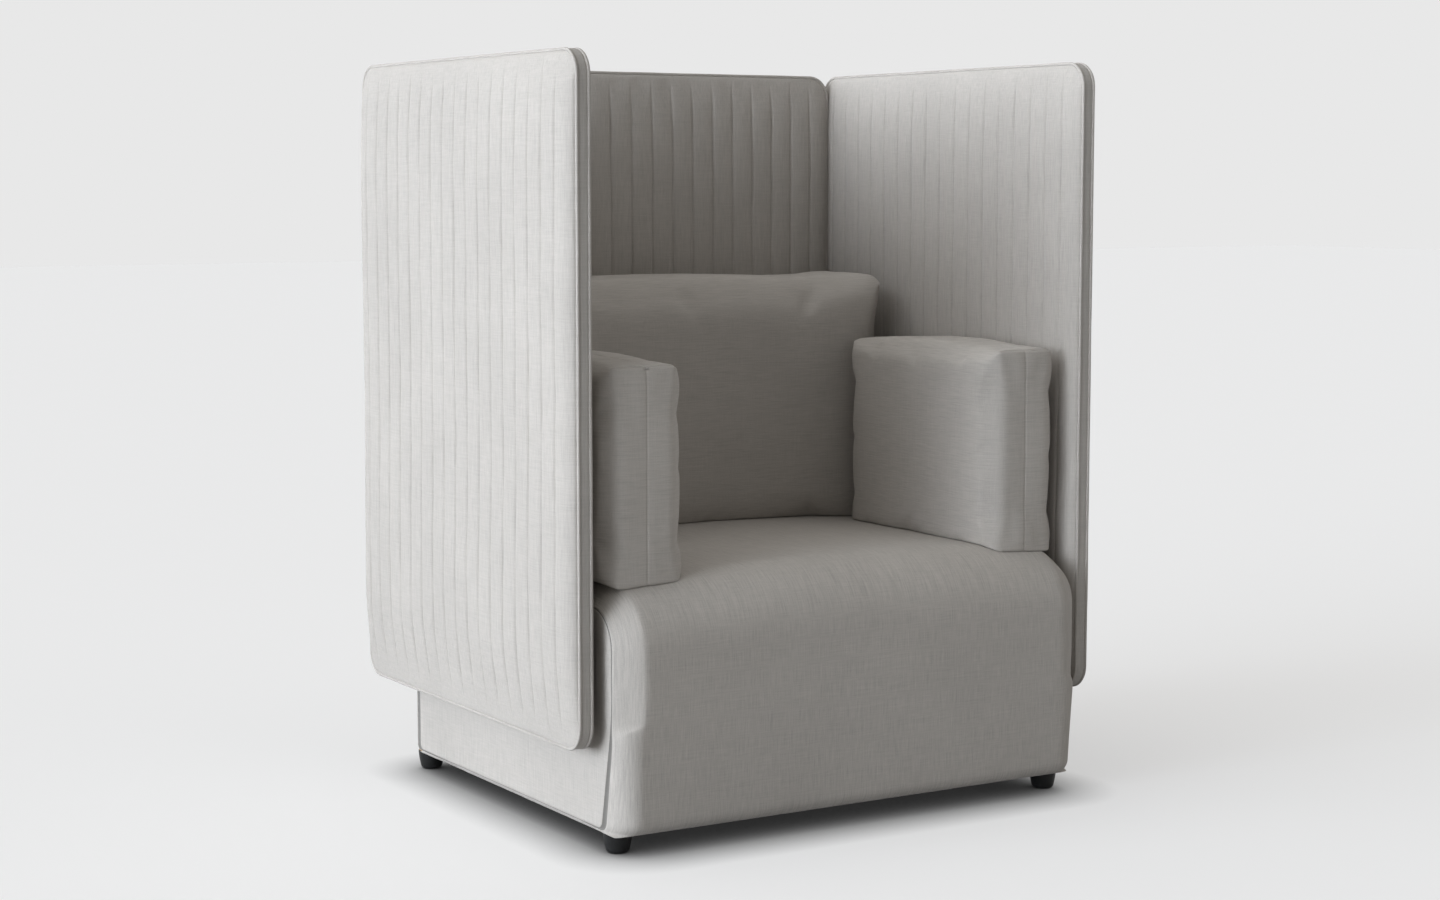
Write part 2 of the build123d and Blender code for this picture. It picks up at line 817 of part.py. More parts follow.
# ----------------------------------------------------------------- cushions
def bowed_outline(plane, width, height, bow_x, bow_y, corner):
    """Four gently bowed sides with soft corners between them."""
    w = width / 2
    h = height / 2
    with BuildSketch(plane) as outline:
        with BuildLine():
            ThreePointArc((-w, -h), (0, -h - bow_y), (w, -h))
            ThreePointArc((w, -h), (w + bow_x, 0), (w, h))
            ThreePointArc((w, h), (0, h + bow_y), (-w, h))
            ThreePointArc((-w, h), (-w - bow_x, 0), (-w, -h))
        make_face()
        fillet(outline.vertices(), corner)
    return outline.sketch


def cushion_form(middle, size, bow, corner, inset):
    """A stuffed cushion with full faces, whose sides draw in at its edges.

    size is measured between the corners and bow is how far each face stands
    out in its middle, both as X, Y and Z values.
    """
    x, y, z = (value - 2 * inset for value in size)
    middle = Vector(*middle)
    low = middle - Vector(x, y, z)
    above = Plane(origin=(middle.X, middle.Y, low.Z), x_dir=(1, 0, 0), z_dir=(0, 0, 1))
    ahead = Plane(origin=(middle.X, low.Y, middle.Z), x_dir=(-1, 0, 0), z_dir=(0, 1, 0))
    beside = Plane(origin=(low.X, middle.Y, middle.Z), x_dir=(0, 1, 0), z_dir=(1, 0, 0))
    plan = bowed_outline(above, x, y, bow[0], bow[1], corner - inset)
    front = bowed_outline(
        ahead, x, z, bow[0] + bow_margin, bow[2] + bow_margin, corner - inset
    )
    side = bowed_outline(beside, y, z, bow[1] + bow_margin, bow[2], corner - inset)
    with BuildPart() as form:
        extrude(plan, amount=2 * z, dir=(0, 0, 1))
        extrude(front, amount=2 * y, dir=(0, 1, 0), mode=Mode.INTERSECT)
        extrude(side, amount=2 * x, dir=(1, 0, 0), mode=Mode.INTERSECT)
    return form.part


seat_cut = base_block(-seat_clear)
filling_cut = base_block(-seat_clear - cushion_skin)


def make_cushion(name, *shape):
    """The sewn cover of a cushion, and the filling inside it."""
    outside = cushion_form(*shape, 0)
    inside = cushion_form(*shape, cushion_skin)
    with BuildPart() as filling:
        add(inside)
        add(filling_cut, mode=Mode.SUBTRACT)
    save(filling, f"{name}_filling")
    with BuildPart() as cover:
        add(outside)
        add(seat_cut, mode=Mode.SUBTRACT)
        add(filling.part, mode=Mode.SUBTRACT)
    save(cover, f"{name}_cover")


back_rear = back_screen_y - screen_half - inner_crown - back_clear
back_front = back_rear - back_depth
arm_front = base_front + arm_setback
arm_length = back_front - back_to_arm - arm_end_bow - arm_front
for side, name in ((-1, "left_arm_cushion"), (1, "right_arm_cushion")):
    make_cushion(
        name,
        (
            side * (base_half - arm_inset),
            arm_front + arm_length / 2,
            seat_height - arm_sink + arm_height / 2,
        ),
        (arm_thick, arm_length, arm_height),
        (arm_bow, arm_end_bow, arm_top_bow),
        arm_corner,
    )

side_crown_x = side_screen_x - screen_half - inner_crown
make_cushion(
    "back_cushion",
    (0, (back_front + back_rear) / 2, seat_height - back_sink + back_height / 2),
    (2 * (side_crown_x - back_side_room), back_depth - 2 * back_bow, back_height),
    (back_end_bow, back_bow, back_top_bow),
    back_corner,
)
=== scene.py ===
"""Visual model of the high back lounge chair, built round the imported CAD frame.

Metres, in the row frame: +X right as seen from the front, +Y to the back, +Z up.
"""

import math
from itertools import product

import bmesh
import bpy
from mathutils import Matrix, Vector, noise


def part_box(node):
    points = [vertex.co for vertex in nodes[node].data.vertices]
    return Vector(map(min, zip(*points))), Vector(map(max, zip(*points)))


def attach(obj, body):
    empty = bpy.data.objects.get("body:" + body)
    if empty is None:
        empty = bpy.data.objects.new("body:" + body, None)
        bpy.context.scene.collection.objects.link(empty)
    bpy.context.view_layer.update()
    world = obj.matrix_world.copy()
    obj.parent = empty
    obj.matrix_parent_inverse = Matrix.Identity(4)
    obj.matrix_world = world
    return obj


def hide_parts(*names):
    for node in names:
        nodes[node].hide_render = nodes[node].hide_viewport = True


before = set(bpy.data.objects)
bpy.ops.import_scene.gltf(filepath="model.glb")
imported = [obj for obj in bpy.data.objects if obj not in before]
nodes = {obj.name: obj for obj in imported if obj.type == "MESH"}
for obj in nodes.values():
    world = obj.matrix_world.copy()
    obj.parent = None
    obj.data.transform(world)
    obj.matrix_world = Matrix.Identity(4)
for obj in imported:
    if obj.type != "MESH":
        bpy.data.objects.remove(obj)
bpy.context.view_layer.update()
scene = bpy.context.scene
MM = 0.001

# ------------ helpers


def smooth_step(value, low, high):
    """0 below low, 1 above high and a smooth run between them."""
    t = min(max((value - low) / (high - low), 0.0), 1.0)
    return t * t * (3 - 2 * t)


def lerp(a, b, t):
    """The value a share t of the way from a to b."""
    return a + (b - a) * t


def ripple(point, size, seed=0.0):
    """Smooth noise from about -1 to 1 with features of the given size."""
    return noise.noise(Vector(point) / size + Vector((seed, seed * 1.7, -seed)))


def rounded_polygon(corners, radii, counts):
    """Points round a closed outline. counts are the steps of each arc, and of every run.

    Every corner gives the arc that rounds it, then the run to the next corner.
    """
    total = len(corners)
    arc_count, run_counts = counts
    arcs = []
    for index in range(total):
        here = Vector(corners[index])
        back = (Vector(corners[index - 1]) - here).normalized()
        ahead = (Vector(corners[(index + 1) % total]) - here).normalized()
        half_angle = back.angle(ahead) / 2
        reach = radii[index] / math.tan(half_angle)
        centre = here + (back + ahead).normalized() * (radii[index] / math.sin(half_angle))
        start, end = here + back * reach - centre, here + ahead * reach - centre
        turn = start.angle(end)
        arc = []
        for step in range(arc_count + 1):
            t = step / arc_count
            way = start * math.sin(turn * (1 - t)) + end * math.sin(turn * t)
            arc.append(centre + way / math.sin(turn))
        arcs.append(arc)
    outline = []
    for index in range(total):
        outline += arcs[index]
        first, last = arcs[index][-1], arcs[(index + 1) % total][0]
        for step in range(1, run_counts[index]):
            outline.append(first.lerp(last, step / run_counts[index]))
    return outline


def make_object(name, points, faces, smooth=True, marks=None):
    """A mesh object at the origin from points and faces, with its normals outwards.

    marks gives each face the number of its material.
    """
    mesh = bpy.data.meshes.new(name)
    mesh.from_pydata([tuple(p) for p in points], [], faces)
    if marks:
        for polygon, mark in zip(mesh.polygons, marks):
            polygon.material_index = mark
    closed = bmesh.new()
    closed.from_mesh(mesh)
    bmesh.ops.remove_doubles(closed, verts=closed.verts, dist=1e-6)
    bmesh.ops.recalc_face_normals(closed, faces=closed.faces)
    closed.to_mesh(mesh)
    closed.free()
    mesh.polygons.foreach_set("use_smooth", [smooth] * len(mesh.polygons))
    piece = bpy.data.objects.new(name, mesh)
    scene.collection.objects.link(piece)
    return piece


def strip_faces(rows, columns, first=0, closed_rows=False, closed_columns=False):
    """Quads of a grid whose points run along each row in turn."""
    faces = []
    for r in range(rows if closed_rows else rows - 1):
        for c in range(columns if closed_columns else columns - 1):
            here, ahead = first + r * columns, first + (r + 1) % rows * columns
            c2 = (c + 1) % columns
            faces.append((here + c, here + c2, ahead + c2, ahead + c))
    return faces


def finish_piece(piece, body, material, slot, *replaced):
    """Gives a piece its body and material, and hides the CAD nodes it stands for; slot is not used.
    """
    piece.data.materials.clear()
    piece.data.materials.append(material)
    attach(piece, body)
    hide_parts(*replaced)


# ------------ materials
def math_step(tree, operation, a, b):
    """One sum on two values, each a socket or a number, in any node tree."""
    node = tree.nodes.new("ShaderNodeMath")
    node.operation = operation
    for value, socket in zip((a, b), node.inputs):
        if isinstance(value, (int, float)):
            socket.default_value = value
        else:
            tree.links.new(value, socket)
    return node.outputs["Value"]


class Shader:
    """A small builder for one material's node tree."""

    def __init__(self, name, roughness):
        self.material = bpy.data.materials.new(name)
        self.material.use_nodes = True
        self.tree = self.material.node_tree
        self.surface = self.tree.nodes["Principled BSDF"]
        self.surface.inputs["Roughness"].default_value = roughness
        self.place = self.tree.nodes.new("ShaderNodeTexCoord").outputs["Object"]

    def link(self, output, socket):
        self.tree.links.new(output, socket)

    def noise(self, scale, detail):
        """Noise stretched by scale, the number of features per metre along X, Y and Z."""
        mapping = self.tree.nodes.new("ShaderNodeMapping")
        mapping.inputs["Scale"].default_value = scale
        self.link(self.place, mapping.inputs["Vector"])
        texture = self.tree.nodes.new("ShaderNodeTexNoise")
        texture.inputs["Scale"].default_value = 1.0
        texture.inputs["Detail"].default_value = detail
        texture.inputs["Roughness"].default_value = 0.55
        self.link(mapping.outputs["Vector"], texture.inputs["Vector"])
        return texture.outputs["Fac"]

    def ramp(self, value, *stops):
        """Colour ramp through (position, grey or colour) stops."""
        node = self.tree.nodes.new("ShaderNodeValToRGB")
        self.link(value, node.inputs["Fac"])
        elements = node.color_ramp.elements
        while len(elements) < len(stops):
            elements.new(0.5)
        for element, (position, colour) in zip(elements, stops):
            element.position = position
            if isinstance(colour, (int, float)):
                colour = (colour,) * 3
            element.color = (*colour, 1.0)
        return node.outputs["Color"]

    def math(self, operation, a, b):
        return math_step(self.tree, operation, a, b)

    def mix(self, kind, factor, a, b):
        """Mixes two colours; each may be a socket or a plain colour."""
        node = self.tree.nodes.new("ShaderNodeMix")
        node.data_type = "RGBA"
        node.blend_type = kind
        for value, socket in ((factor, node.inputs[0]), (a, node.inputs[6]), (b, node.inputs[7])):
            if isinstance(value, (int, float)):
                socket.default_value = value
            elif isinstance(value, tuple):
                socket.default_value = (*value, 1.0)
            else:
                self.link(value, socket)
        return node.outputs[2]

    def colour(self, value):
        self.link(value, self.surface.inputs["Base Color"])

    def bump(self, height, distance, strength):
        node = self.tree.nodes.new("ShaderNodeBump")
        node.inputs["Strength"].default_value = strength
        node.inputs["Distance"].default_value = distance
        self.link(height, node.inputs["Height"])
        self.link(node.outputs["Normal"], self.surface.inputs["Normal"])


YARN = 820.0            # yarns in a metre of cloth
ALONG = 26.0            # how often a yarn changes in a metre of its length
SLUB = 240.0            # thick yarns in a metre
SLUB_ALONG = 13.0
FIBRE = 1500.0          # fibres in a metre
CLOUD = 5.0             # lighter and darker patches in a metre
WARP_SHARE = 0.64       # how much of the look the main yarns give


def woven(name, colour, warp, contrast=1.0, sheen=0.12):
    """Linen-like upholstery cloth. warp gives the axes along which its main yarns run.

    A yarn is long along its own axes and fine across them; the weft runs the other way.
    """
    shader = Shader(name, roughness=0.92)
    weft = [1 - way for way in warp]

    def stretched(fine, along, way):
        return tuple(along if w else fine for w in way)

    warp_yarn = shader.noise(stretched(YARN, ALONG, warp), 2.0)
    weft_yarn = shader.noise(stretched(YARN, ALONG, weft), 2.0)
    slub = shader.noise(stretched(SLUB, SLUB_ALONG, warp), 2.0)
    cross_slub = shader.noise(stretched(SLUB, SLUB_ALONG, weft), 2.0)
    fibre = shader.noise((FIBRE,) * 3, 1.0)
    cloud = shader.noise((CLOUD,) * 3, 2.0)
    main_yarns = shader.math("MULTIPLY", warp_yarn, WARP_SHARE)
    yarns = shader.math("ADD", main_yarns, shader.math("MULTIPLY", weft_yarn, 1 - WARP_SHARE))
    light = tuple(min(c * (1 + 0.16 * contrast), 1.0) for c in colour)
    dark = tuple(c * (1 - 0.19 * contrast) for c in colour)
    base = shader.ramp(yarns, (0.36, dark), (0.50, colour), (0.64, light))
    slubs = shader.ramp(slub, (0.30, 0.88), (0.42, 1.0), (0.62, 1.0), (0.74, 1.08))
    base = shader.mix("MULTIPLY", 0.75 * contrast, base, slubs)
    cross = shader.ramp(cross_slub, (0.28, 0.92), (0.42, 1.0), (0.64, 1.0), (0.76, 1.05))
    base = shader.mix("MULTIPLY", 0.3 * contrast, base, cross)
    fibres = shader.ramp(fibre, (0.25, 0.88), (0.75, 1.1))
    base = shader.mix("MULTIPLY", 0.6, base, fibres)
    clouds = shader.ramp(cloud, (0.3, 0.965), (0.7, 1.03))
    shader.colour(shader.mix("MULTIPLY", 1.0, base, clouds))
    relief = shader.math("ADD", yarns, shader.math("MULTIPLY", slub, 0.6))
    shader.bump(relief, 0.5 * MM, 0.8)
    shader.surface.inputs["Sheen Weight"].default_value = sheen
    shader.surface.inputs["Sheen Roughness"].default_value = 0.5
    shader.surface.inputs["Specular IOR Level"].default_value = 0.25
    return shader.material


def moulded(name, colour):
    """Finely textured moulded plastic."""
    shader = Shader(name, 0.42)
    grain = shader.noise((900.0,) * 3, 2.0)
    cloud = shader.noise((60.0,) * 3, 2.0)
    light = tuple(c * 1.5 for c in colour)
    shader.colour(shader.ramp(cloud, (0.3, colour), (0.7, light)))
    shader.bump(grain, 0.15 * MM, 0.5)
    shader.surface.inputs["Specular IOR Level"].default_value = 0.2
    return shader.material


def ply(name, colour):
    """Bare plywood and softwood, with its grain running along X."""
    shader = Shader(name, 0.7)
    grain = shader.noise((12.0, 260.0, 260.0), 4.0)
    dark = tuple(c * 0.72 for c in colour)
    shader.colour(shader.ramp(grain, (0.35, dark), (0.65, colour)))
    shader.bump(grain, 0.3 * MM, 0.5)
    return shader.material


def plated(name):
    """Plated steel of the fasteners."""
    shader = Shader(name, 0.35)
    shader.surface.inputs["Metallic"].default_value = 1.0
    grain = shader.noise((700.0,) * 3, 2.0)
    shader.colour(shader.ramp(grain, (0.35, (0.50, 0.50, 0.50)), (0.65, (0.62, 0.61, 0.59))))
    shader.bump(grain, 0.05 * MM, 0.4)
    return shader.material


UPRIGHT = (0, 0, 1)     # axes along which the main yarns of a cloth run
LEVEL = (1, 1, 0)
OVER_THE_SEAT = (0, 1, 1)
LINEN = (0.445, 0.418, 0.386)
# thread colour, darkened further as painted shade for the groove of the seat's side seams
THREAD_AND_SHADE_LINEN = (0.20, 0.19, 0.175)
BAND_LINEN = (0.435, 0.413, 0.385)
LINING = (0.022, 0.022, 0.023)
FOOT_BLACK = (0.012, 0.012, 0.012)
SPACER_BLACK = (0.02, 0.02, 0.02)
PLYWOOD = (0.60, 0.44, 0.27)

seat_cloth = woven("seat_linen", LINEN, OVER_THE_SEAT, contrast=0.75)
side_cloth = woven("seat_side_linen", LINEN, UPRIGHT, contrast=0.6)
screen_cloth = woven("screen_linen", LINEN, UPRIGHT, contrast=0.55)
welt_cloth = woven("welt_linen", LINEN, UPRIGHT, contrast=0.5)
band_cloth = woven("band_linen", BAND_LINEN, UPRIGHT, contrast=0.5)
# dark thread cloth for the seat's side seams, with painted shade for their groove
thread_and_shade_cloth = woven("seam_thread_and_shade_linen", THREAD_AND_SHADE_LINEN, UPRIGHT, contrast=0.4)
cushion_cloth = woven("cushion_linen", LINEN, LEVEL, contrast=0.55)
lining_cloth = woven("lining", LINING, LEVEL, sheen=0.0)
foot_plastic = moulded("foot_plastic", FOOT_BLACK)
spacer_plastic = moulded("spacer_plastic", SPACER_BLACK)
timber = ply("timber", PLYWOOD)
steel = plated("steel")

# ------------ seat
SEAT = "seat_cover_wrap"
low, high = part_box(SEAT)
half = high.x
front, rear = low.y, high.y
under, top = low.z, high.z
DOME = 21 * MM          # the sides of the seat are this much lower than its middle
DOME_RUN = (200 * MM, 10 * MM)  # below the top: where the dome begins and is whole
LEAN = 8 * MM           # the front face draws back towards the floor
BELLY = 235 * MM        # height where that lean starts
BELLY_ROLL = 420 * MM
TOP_ROLL = 115 * MM     # rounding from the front face to the top
REAR_ROLL = 75 * MM
FRONT_TUCK = 30 * MM    # rounding from the front face to the underside
REAR_TUCK = 8 * MM
SIDE_ROLL = 34 * MM     # seam in a side to the front and top faces
ROLL_REACH = 47 * MM    # how far that rounding runs across the front and top
ROLL_POWER = 1.25       # 1 is a flat bevel; above it the roll starts tangent
DEEP_SEAM = (35.5 * MM, 45 * MM)  # between these seam setbacks a bevel becomes a round
REAR_SIDE_ROLL = 52 * MM
REAR_RUN = 4 * MM       # it is reached this far before the rear face
UNDER_REACH = 8 * MM    # how far the rounding runs across the underside
UNDER_INSIDE = (20 * MM, 38 * MM)  # in from the front and rear, where that is reached
UNDER_RISE = (2 * MM, 26 * MM)  # up from the underside, where it is left again
FLAT_UNDER = 6 * MM     # no unevenness below this height over the underside
SEAM_LEAN = 36 * MM     # the front of the seam draws back towards the floor
SEAM_FOOT = 9 * MM      # seam over the underside
SEAM_CORNERS = (15 * MM, BELLY_ROLL, 66 * MM, 40 * MM, 12 * MM)
SEAM_DEPTH = 3.6 * MM
CROSS_STEPS = 78
ARC_STEPS = 12
RUN_STEPS = (24, 24, 70, 40, 80)  # front, upper front, top, rear, underside
ROLL_STEPS = (0.08, 0.18, 0.30, 0.42, 0.54, 0.66, 0.77, 0.86, 0.93, 0.975)
PANEL_STEPS = (0.5, 2, 5, 12, 25, 60, 110, 150)  # rings of a side panel, in from its seam
PANEL_MIDDLE = 160      # the step that would be its middle
PANEL_EDGE_SINK = 0.5 * MM
PANEL_WAVE = 0.8 * MM
PANEL, SEAM_THREAD_AND_SHADE = 1, 2    # materials of a side panel and of its seam, whose dark colour is thread plus painted shade in the groove

profile = rounded_polygon(
    [(front + LEAN, under), (front, BELLY), (front, top), (rear, top), (rear, under)],
    [FRONT_TUCK, BELLY_ROLL, TOP_ROLL, REAR_ROLL, REAR_TUCK],
    (ARC_STEPS, RUN_STEPS),
)
seam_front = front + SIDE_ROLL + MM
seam_rear = rear - REAR_SIDE_ROLL - MM
seam_low = under + SEAM_FOOT
seam_high = top - DOME - SIDE_ROLL - MM
seam = rounded_polygon(
    [
        (seam_front + SEAM_LEAN, seam_low),
        (seam_front, BELLY),
        (seam_front, seam_high),
        (seam_rear, seam_high),
        (seam_rear, seam_low),
    ],
    SEAM_CORNERS,
    (ARC_STEPS, RUN_STEPS),
)
panel_y, panel_z = (seam_front + seam_rear) / 2, (seam_low + seam_high) / 2


def side_reach(y, z):
    """How far from the side the rounding starts, for a point of the profile."""
    reach = lerp(ROLL_REACH, REAR_SIDE_ROLL, smooth_step(y, rear - REAR_ROLL, rear - REAR_RUN))
    inside = smooth_step(min(y - front, rear - y), *UNDER_INSIDE)
    underside = 1 - smooth_step(z, under + UNDER_RISE[0], under + UNDER_RISE[1])
    return lerp(reach, UNDER_REACH, inside * underside)


def drop(x, z):
    """How much the crowned top falls at x, for a point at height z."""
    return DOME * (x / half) ** 2 * smooth_step(z, top - DOME_RUN[0], top - DOME_RUN[1])


def fullness(x, y, z):
    """Small unevenness of the padding under the seat cover."""
    soft = ripple((x, y, z), 0.21, 3.1) + 0.5 * ripple((x, y, z), 0.09, 7.7)
    return 1.1 * MM * soft


def cover_rings():
    """Rings of points round the front, top, rear and underside, from left to right."""
    middle = Vector((0, (front + rear) / 2, (under + top) / 2))
    rings = []
    for step in range(CROSS_STEPS + 1):
        ring = []
        for y, z in profile:
            x = (2 * step / CROSS_STEPS - 1) * (half - side_reach(y, z))
            out = (Vector((0, y, z)) - middle).normalized()
            lift = 0 if z < under + FLAT_UNDER else fullness(x, y, z)
            ring.append((x, y + out.y * lift, z + out.z * lift - drop(x, z)))
        rings.append(ring)
    return rings


def roll_ring(side, t):
    """A ring of points a share t of the way from the front and top faces to the seam."""
    ring = []
    for (y, z), (seam_y, seam_z) in zip(profile, seam):
        reach = side_reach(y, z)
        deep = smooth_step(abs(seam_y - y), *DEEP_SEAM)
        inward = lerp(t**ROLL_POWER, 1 - math.sqrt(1 - t * t), deep)
        lower = drop(half - reach, z) * (1 - inward)
        x = side * (half - reach * (1 - t))
        ring.append((x, lerp(y, seam_y, inward), lerp(z, seam_z, inward) - lower))
    return ring


def panel_ring(side, step):
    """A ring of points on a side panel, drawn in from its seam by a step."""
    share = step / PANEL_MIDDLE
    sunk = PANEL_EDGE_SINK if step < 1 else 0
    ring = []
    for y, z in seam:
        wave = PANEL_WAVE * ripple((side, y, z), 0.16, 5.0) if step > 5 else 0
        x = side * (half - sunk + wave)
        ring.append((x, lerp(y, panel_y, share), lerp(z, panel_z, share)))
    return ring


def side_rings(side):
    """Rings of points over the roll, into the seam and across the panel of one side."""
    rolled = [roll_ring(side, t) for t in ROLL_STEPS]
    groove = [[(side * (half - SEAM_DEPTH), y, z) for y, z in seam]]
    return rolled + groove + [panel_ring(side, step) for step in PANEL_STEPS]


def on_panel(polygon):
    """Whether a face of the seat belongs to a flat side panel."""
    centre = polygon.center
    flat = abs(centre.x) > half - 2.2 * MM and abs(polygon.normal.x) > 0.8
    return flat and seam_front + 0.3 * MM < centre.y < seam_rear and centre.z < seam_high


def seat_upholstery():
    """The seat block: one wrapped cover with a sewn flat panel in each side."""
    count = len(profile)
    left, right = side_rings(-1)[::-1], side_rings(1)
    rings = left + cover_rings() + right
    points = [p for ring in rings for p in ring]
    faces = strip_faces(len(rings), count, closed_columns=True)
    for side, first in ((-1, 0), (1, (len(rings) - 1) * count)):
        centre = len(points)
        points.append((side * half, panel_y, panel_z))
        faces += [(centre, first + i, first + (i + 1) % count) for i in range(count)]
    grooves = (len(left) - 1 - len(ROLL_STEPS), len(rings) - len(right) + len(ROLL_STEPS))
    seam_strips = {groove - back for groove in grooves for back in (0, 1)}
    # faces in each side seam's groove get the dark thread cloth, which also paints shade into the
    # groove
    marks = [SEAM_THREAD_AND_SHADE if i // count in seam_strips else 0 for i in range(len(faces))]
    piece = make_object("seat_upholstery", points, faces, marks=marks)
    for cloth in (seat_cloth, side_cloth, thread_and_shade_cloth):
        piece.data.materials.append(cloth)
    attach(piece, "chair")
    for polygon in piece.data.polygons:
        if polygon.material_index != SEAM_THREAD_AND_SHADE and on_panel(polygon):
            polygon.material_index = PANEL
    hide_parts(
        SEAT, "seat_cover_left", "seat_cover_right", "seat_foam", "front_foam",
        "rear_foam", "left_side_foam", "right_side_foam", "webbing_felt",
        "lengthwise_straps", "crosswise_straps",
    )


seat_upholstery()

LINING_GAP = 0.6 * MM   # lining below the underside at its edge
LINING_SAG = 0.5 * MM   # and this much more inside
LINING_WAVE = 0.3 * MM


def seat_top(x, y):
    """Height of the seat cover at a place on its top."""
    ahead = max(front + TOP_ROLL - y, 0)
    rounded_off = TOP_ROLL - math.sqrt(max(TOP_ROLL**2 - ahead**2, 0))
    return top - DOME * (x / half) ** 2 - rounded_off


def dust_sheet():
    """Black lining stretched over the opening in the underside."""
    lo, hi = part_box("dust_cover")
    across, along = 24, 20
    points = []
    for r in range(along + 1):
        for c in range(across + 1):
            x = lerp(lo.x, hi.x, c / across)
            y = lerp(lo.y, hi.y, r / along)
            at_edge = r in (0, along) or c in (0, across)
            level = under - LINING_GAP - (0 if at_edge else LINING_SAG)
            points.append((x, y, level + LINING_WAVE * ripple((x, y, 0), 0.12)))
    piece = make_object("dust_sheet", points, strip_faces(along + 1, across + 1))
    finish_piece(piece, "chair", lining_cloth, "lining", "dust_cover")


dust_sheet()

# ------------ screens
PIPE = 3 * MM
PIPE_AIR = 0.2 * MM
PIPE_SWAY = 0.45 * MM   # how far the piping wanders along the rim
PIPE_SIDES = 14
TUCK = 2 * MM           # middle of the piping inside the outline
RIM_SPACING = 9 * MM    # points along the straight stretches of the rim
SCREEN_CORNER = 45 * MM
CHANNEL = 47.5 * MM
COVER_INSET = 3.6 * MM  # edge of a quilted face inside the outline
RIM = 3.4 * MM          # its height over the core there, beside the piping
STITCH_DEPTH = 2.4 * MM
STITCH_WIDTH = 2.2 * MM
CHANNEL_FULL = 2.4 * MM
ROLL_FULL = 2.2 * MM    # fullness that a face has close to the piping
ROLL_RUN = 10 * MM      # it is reached this far in
BELLY_FULL = 4 * MM     # a face bulges a little more low down
BELLY_LEVEL = -0.36     # height of that bulge, from the middle of the screen
BELLY_TALL = 0.16
BELLY_SHOULDER = 0.2    # it dies away over this distance from the sides
TOP_SHOULDER = 0.20     # distance from the top over which a face grows full
FOOT_SHOULDER = 0.16    # the same at its lower edge
FOOT_POWER = 1.6
OUTER_SHOULDER = 60 * MM  # and at the sides of the outer faces
INNER_SHOULDER = 70 * MM
SEWN_ENDS = (10 * MM, 75 * MM)  # in from top or foot, where channels begin and are whole
SEWN_SIDES = (2 * MM, 20 * MM)
STITCH_SWAY = 0.7 * MM  # how far a line of stitches wanders
CHANNEL_WAVE = 1.3 * MM  # unevenness of one channel
FACE_WAVE = 1.4 * MM    # and of the whole face
DRAG = 1.6 * MM         # small folds at top and foot
DRAG_RUN = 90 * MM      # how far in they run
DRAG_START = 12 * MM
FACE_BACK = 0.3 * MM    # back of a face over the core
BETWEEN = (0.0, 0.02, 0.045, 0.08, 0.14, 0.24, 0.38, 0.5, 0.62, 0.76, 0.86, 0.92, 0.955, 0.98)
END_ROWS = (0.0, 1.2, 3, 6, 10, 15, 21, 28, 36, 45, 56, 68, 80, 92)  # mm from top or foot
INNER_ROWS = 88
BAND_LAP = 2.6 * MM     # edge band past the core, under the pipings
BAND_SINK = 1.2 * MM    # its cloth inside the outline
BAND_FULL = 0.6 * MM
BAND_TURN = 1.4 * MM    # how far it turns in beside the pipings
BAND_BACK = 6 * MM      # its hidden inner side
BAND_WAVE = 0.4 * MM
BAND_STEPS = 10


def fall(distance, reach, power=2.0):
    """0 at an edge and 1 beyond reach."""
    return 1 - (1 - min(distance, reach) / reach) ** power


def roll(distance, reach):
    """0 at an edge and 1 beyond reach, as a quarter ellipse that starts upright."""
    return math.sqrt(fall(distance, reach))


def face_rows(tall):
    """Heights of a face's rows of points, close together near the top and foot."""
    last = END_ROWS[-1] * MM
    rows = [-tall + r * MM for r in END_ROWS]
    rows += [lerp(-tall + last, tall - last, k / INNER_ROWS) for k in range(1, INNER_ROWS)]
    return rows + [tall - r * MM for r in reversed(END_ROWS)]


def fit_outline(a, z, wide, tall):
    """Draws a column into the rounded outline: its place, and its distances to side and end."""
    radius = SCREEN_CORNER - COVER_INSET
    straight = wide - radius
    beyond = max(abs(z) - (tall - radius), 0)
    reach = straight + math.sqrt(max(radius**2 - beyond**2, 0))
    x = a
    if abs(a) > straight:
        x = math.copysign(lerp(straight, reach, (abs(a) - straight) / radius), a)
    to_side, to_end = max(reach - abs(x), 0), tall - abs(z)
    if beyond and abs(x) > straight:
        to_side = to_end = max(radius - math.hypot(abs(x) - straight, beyond), 0)
    return x, to_side, to_end


def channel_relief(line, z, pitch, seed):
    """Relief of the sewn channels, at a place counted in channels across the face."""
    offset = (line - round(line)) * pitch
    groove = math.exp(-((offset / STITCH_WIDTH) ** 2))
    pucker = 0.75 + 0.5 * ripple((round(line) * 0.3, z, seed), 0.022, 4.0)
    arch = math.sin(math.pi * (line - math.floor(line))) ** 0.7
    return CHANNEL_FULL * arch - STITCH_DEPTH * groove * pucker


def loose_relief(x, z, line, to_end, pillow, seed):
    """Relief of the soft padding, and of the folds that run in from top and foot."""
    channel = math.floor(line)
    soft = CHANNEL_WAVE * ripple((channel * 0.37, z, seed), 0.10, 2.0)
    soft += FACE_WAVE * ripple((x, z, seed), 0.17, 6.0)
    drag = smooth_step(DRAG_RUN - to_end, 0.0, DRAG_RUN) * smooth_step(to_end, 0.0, DRAG_START)
    return pillow * soft + drag * DRAG * ripple((x, z * 0.25, seed), 0.026, 9.0)


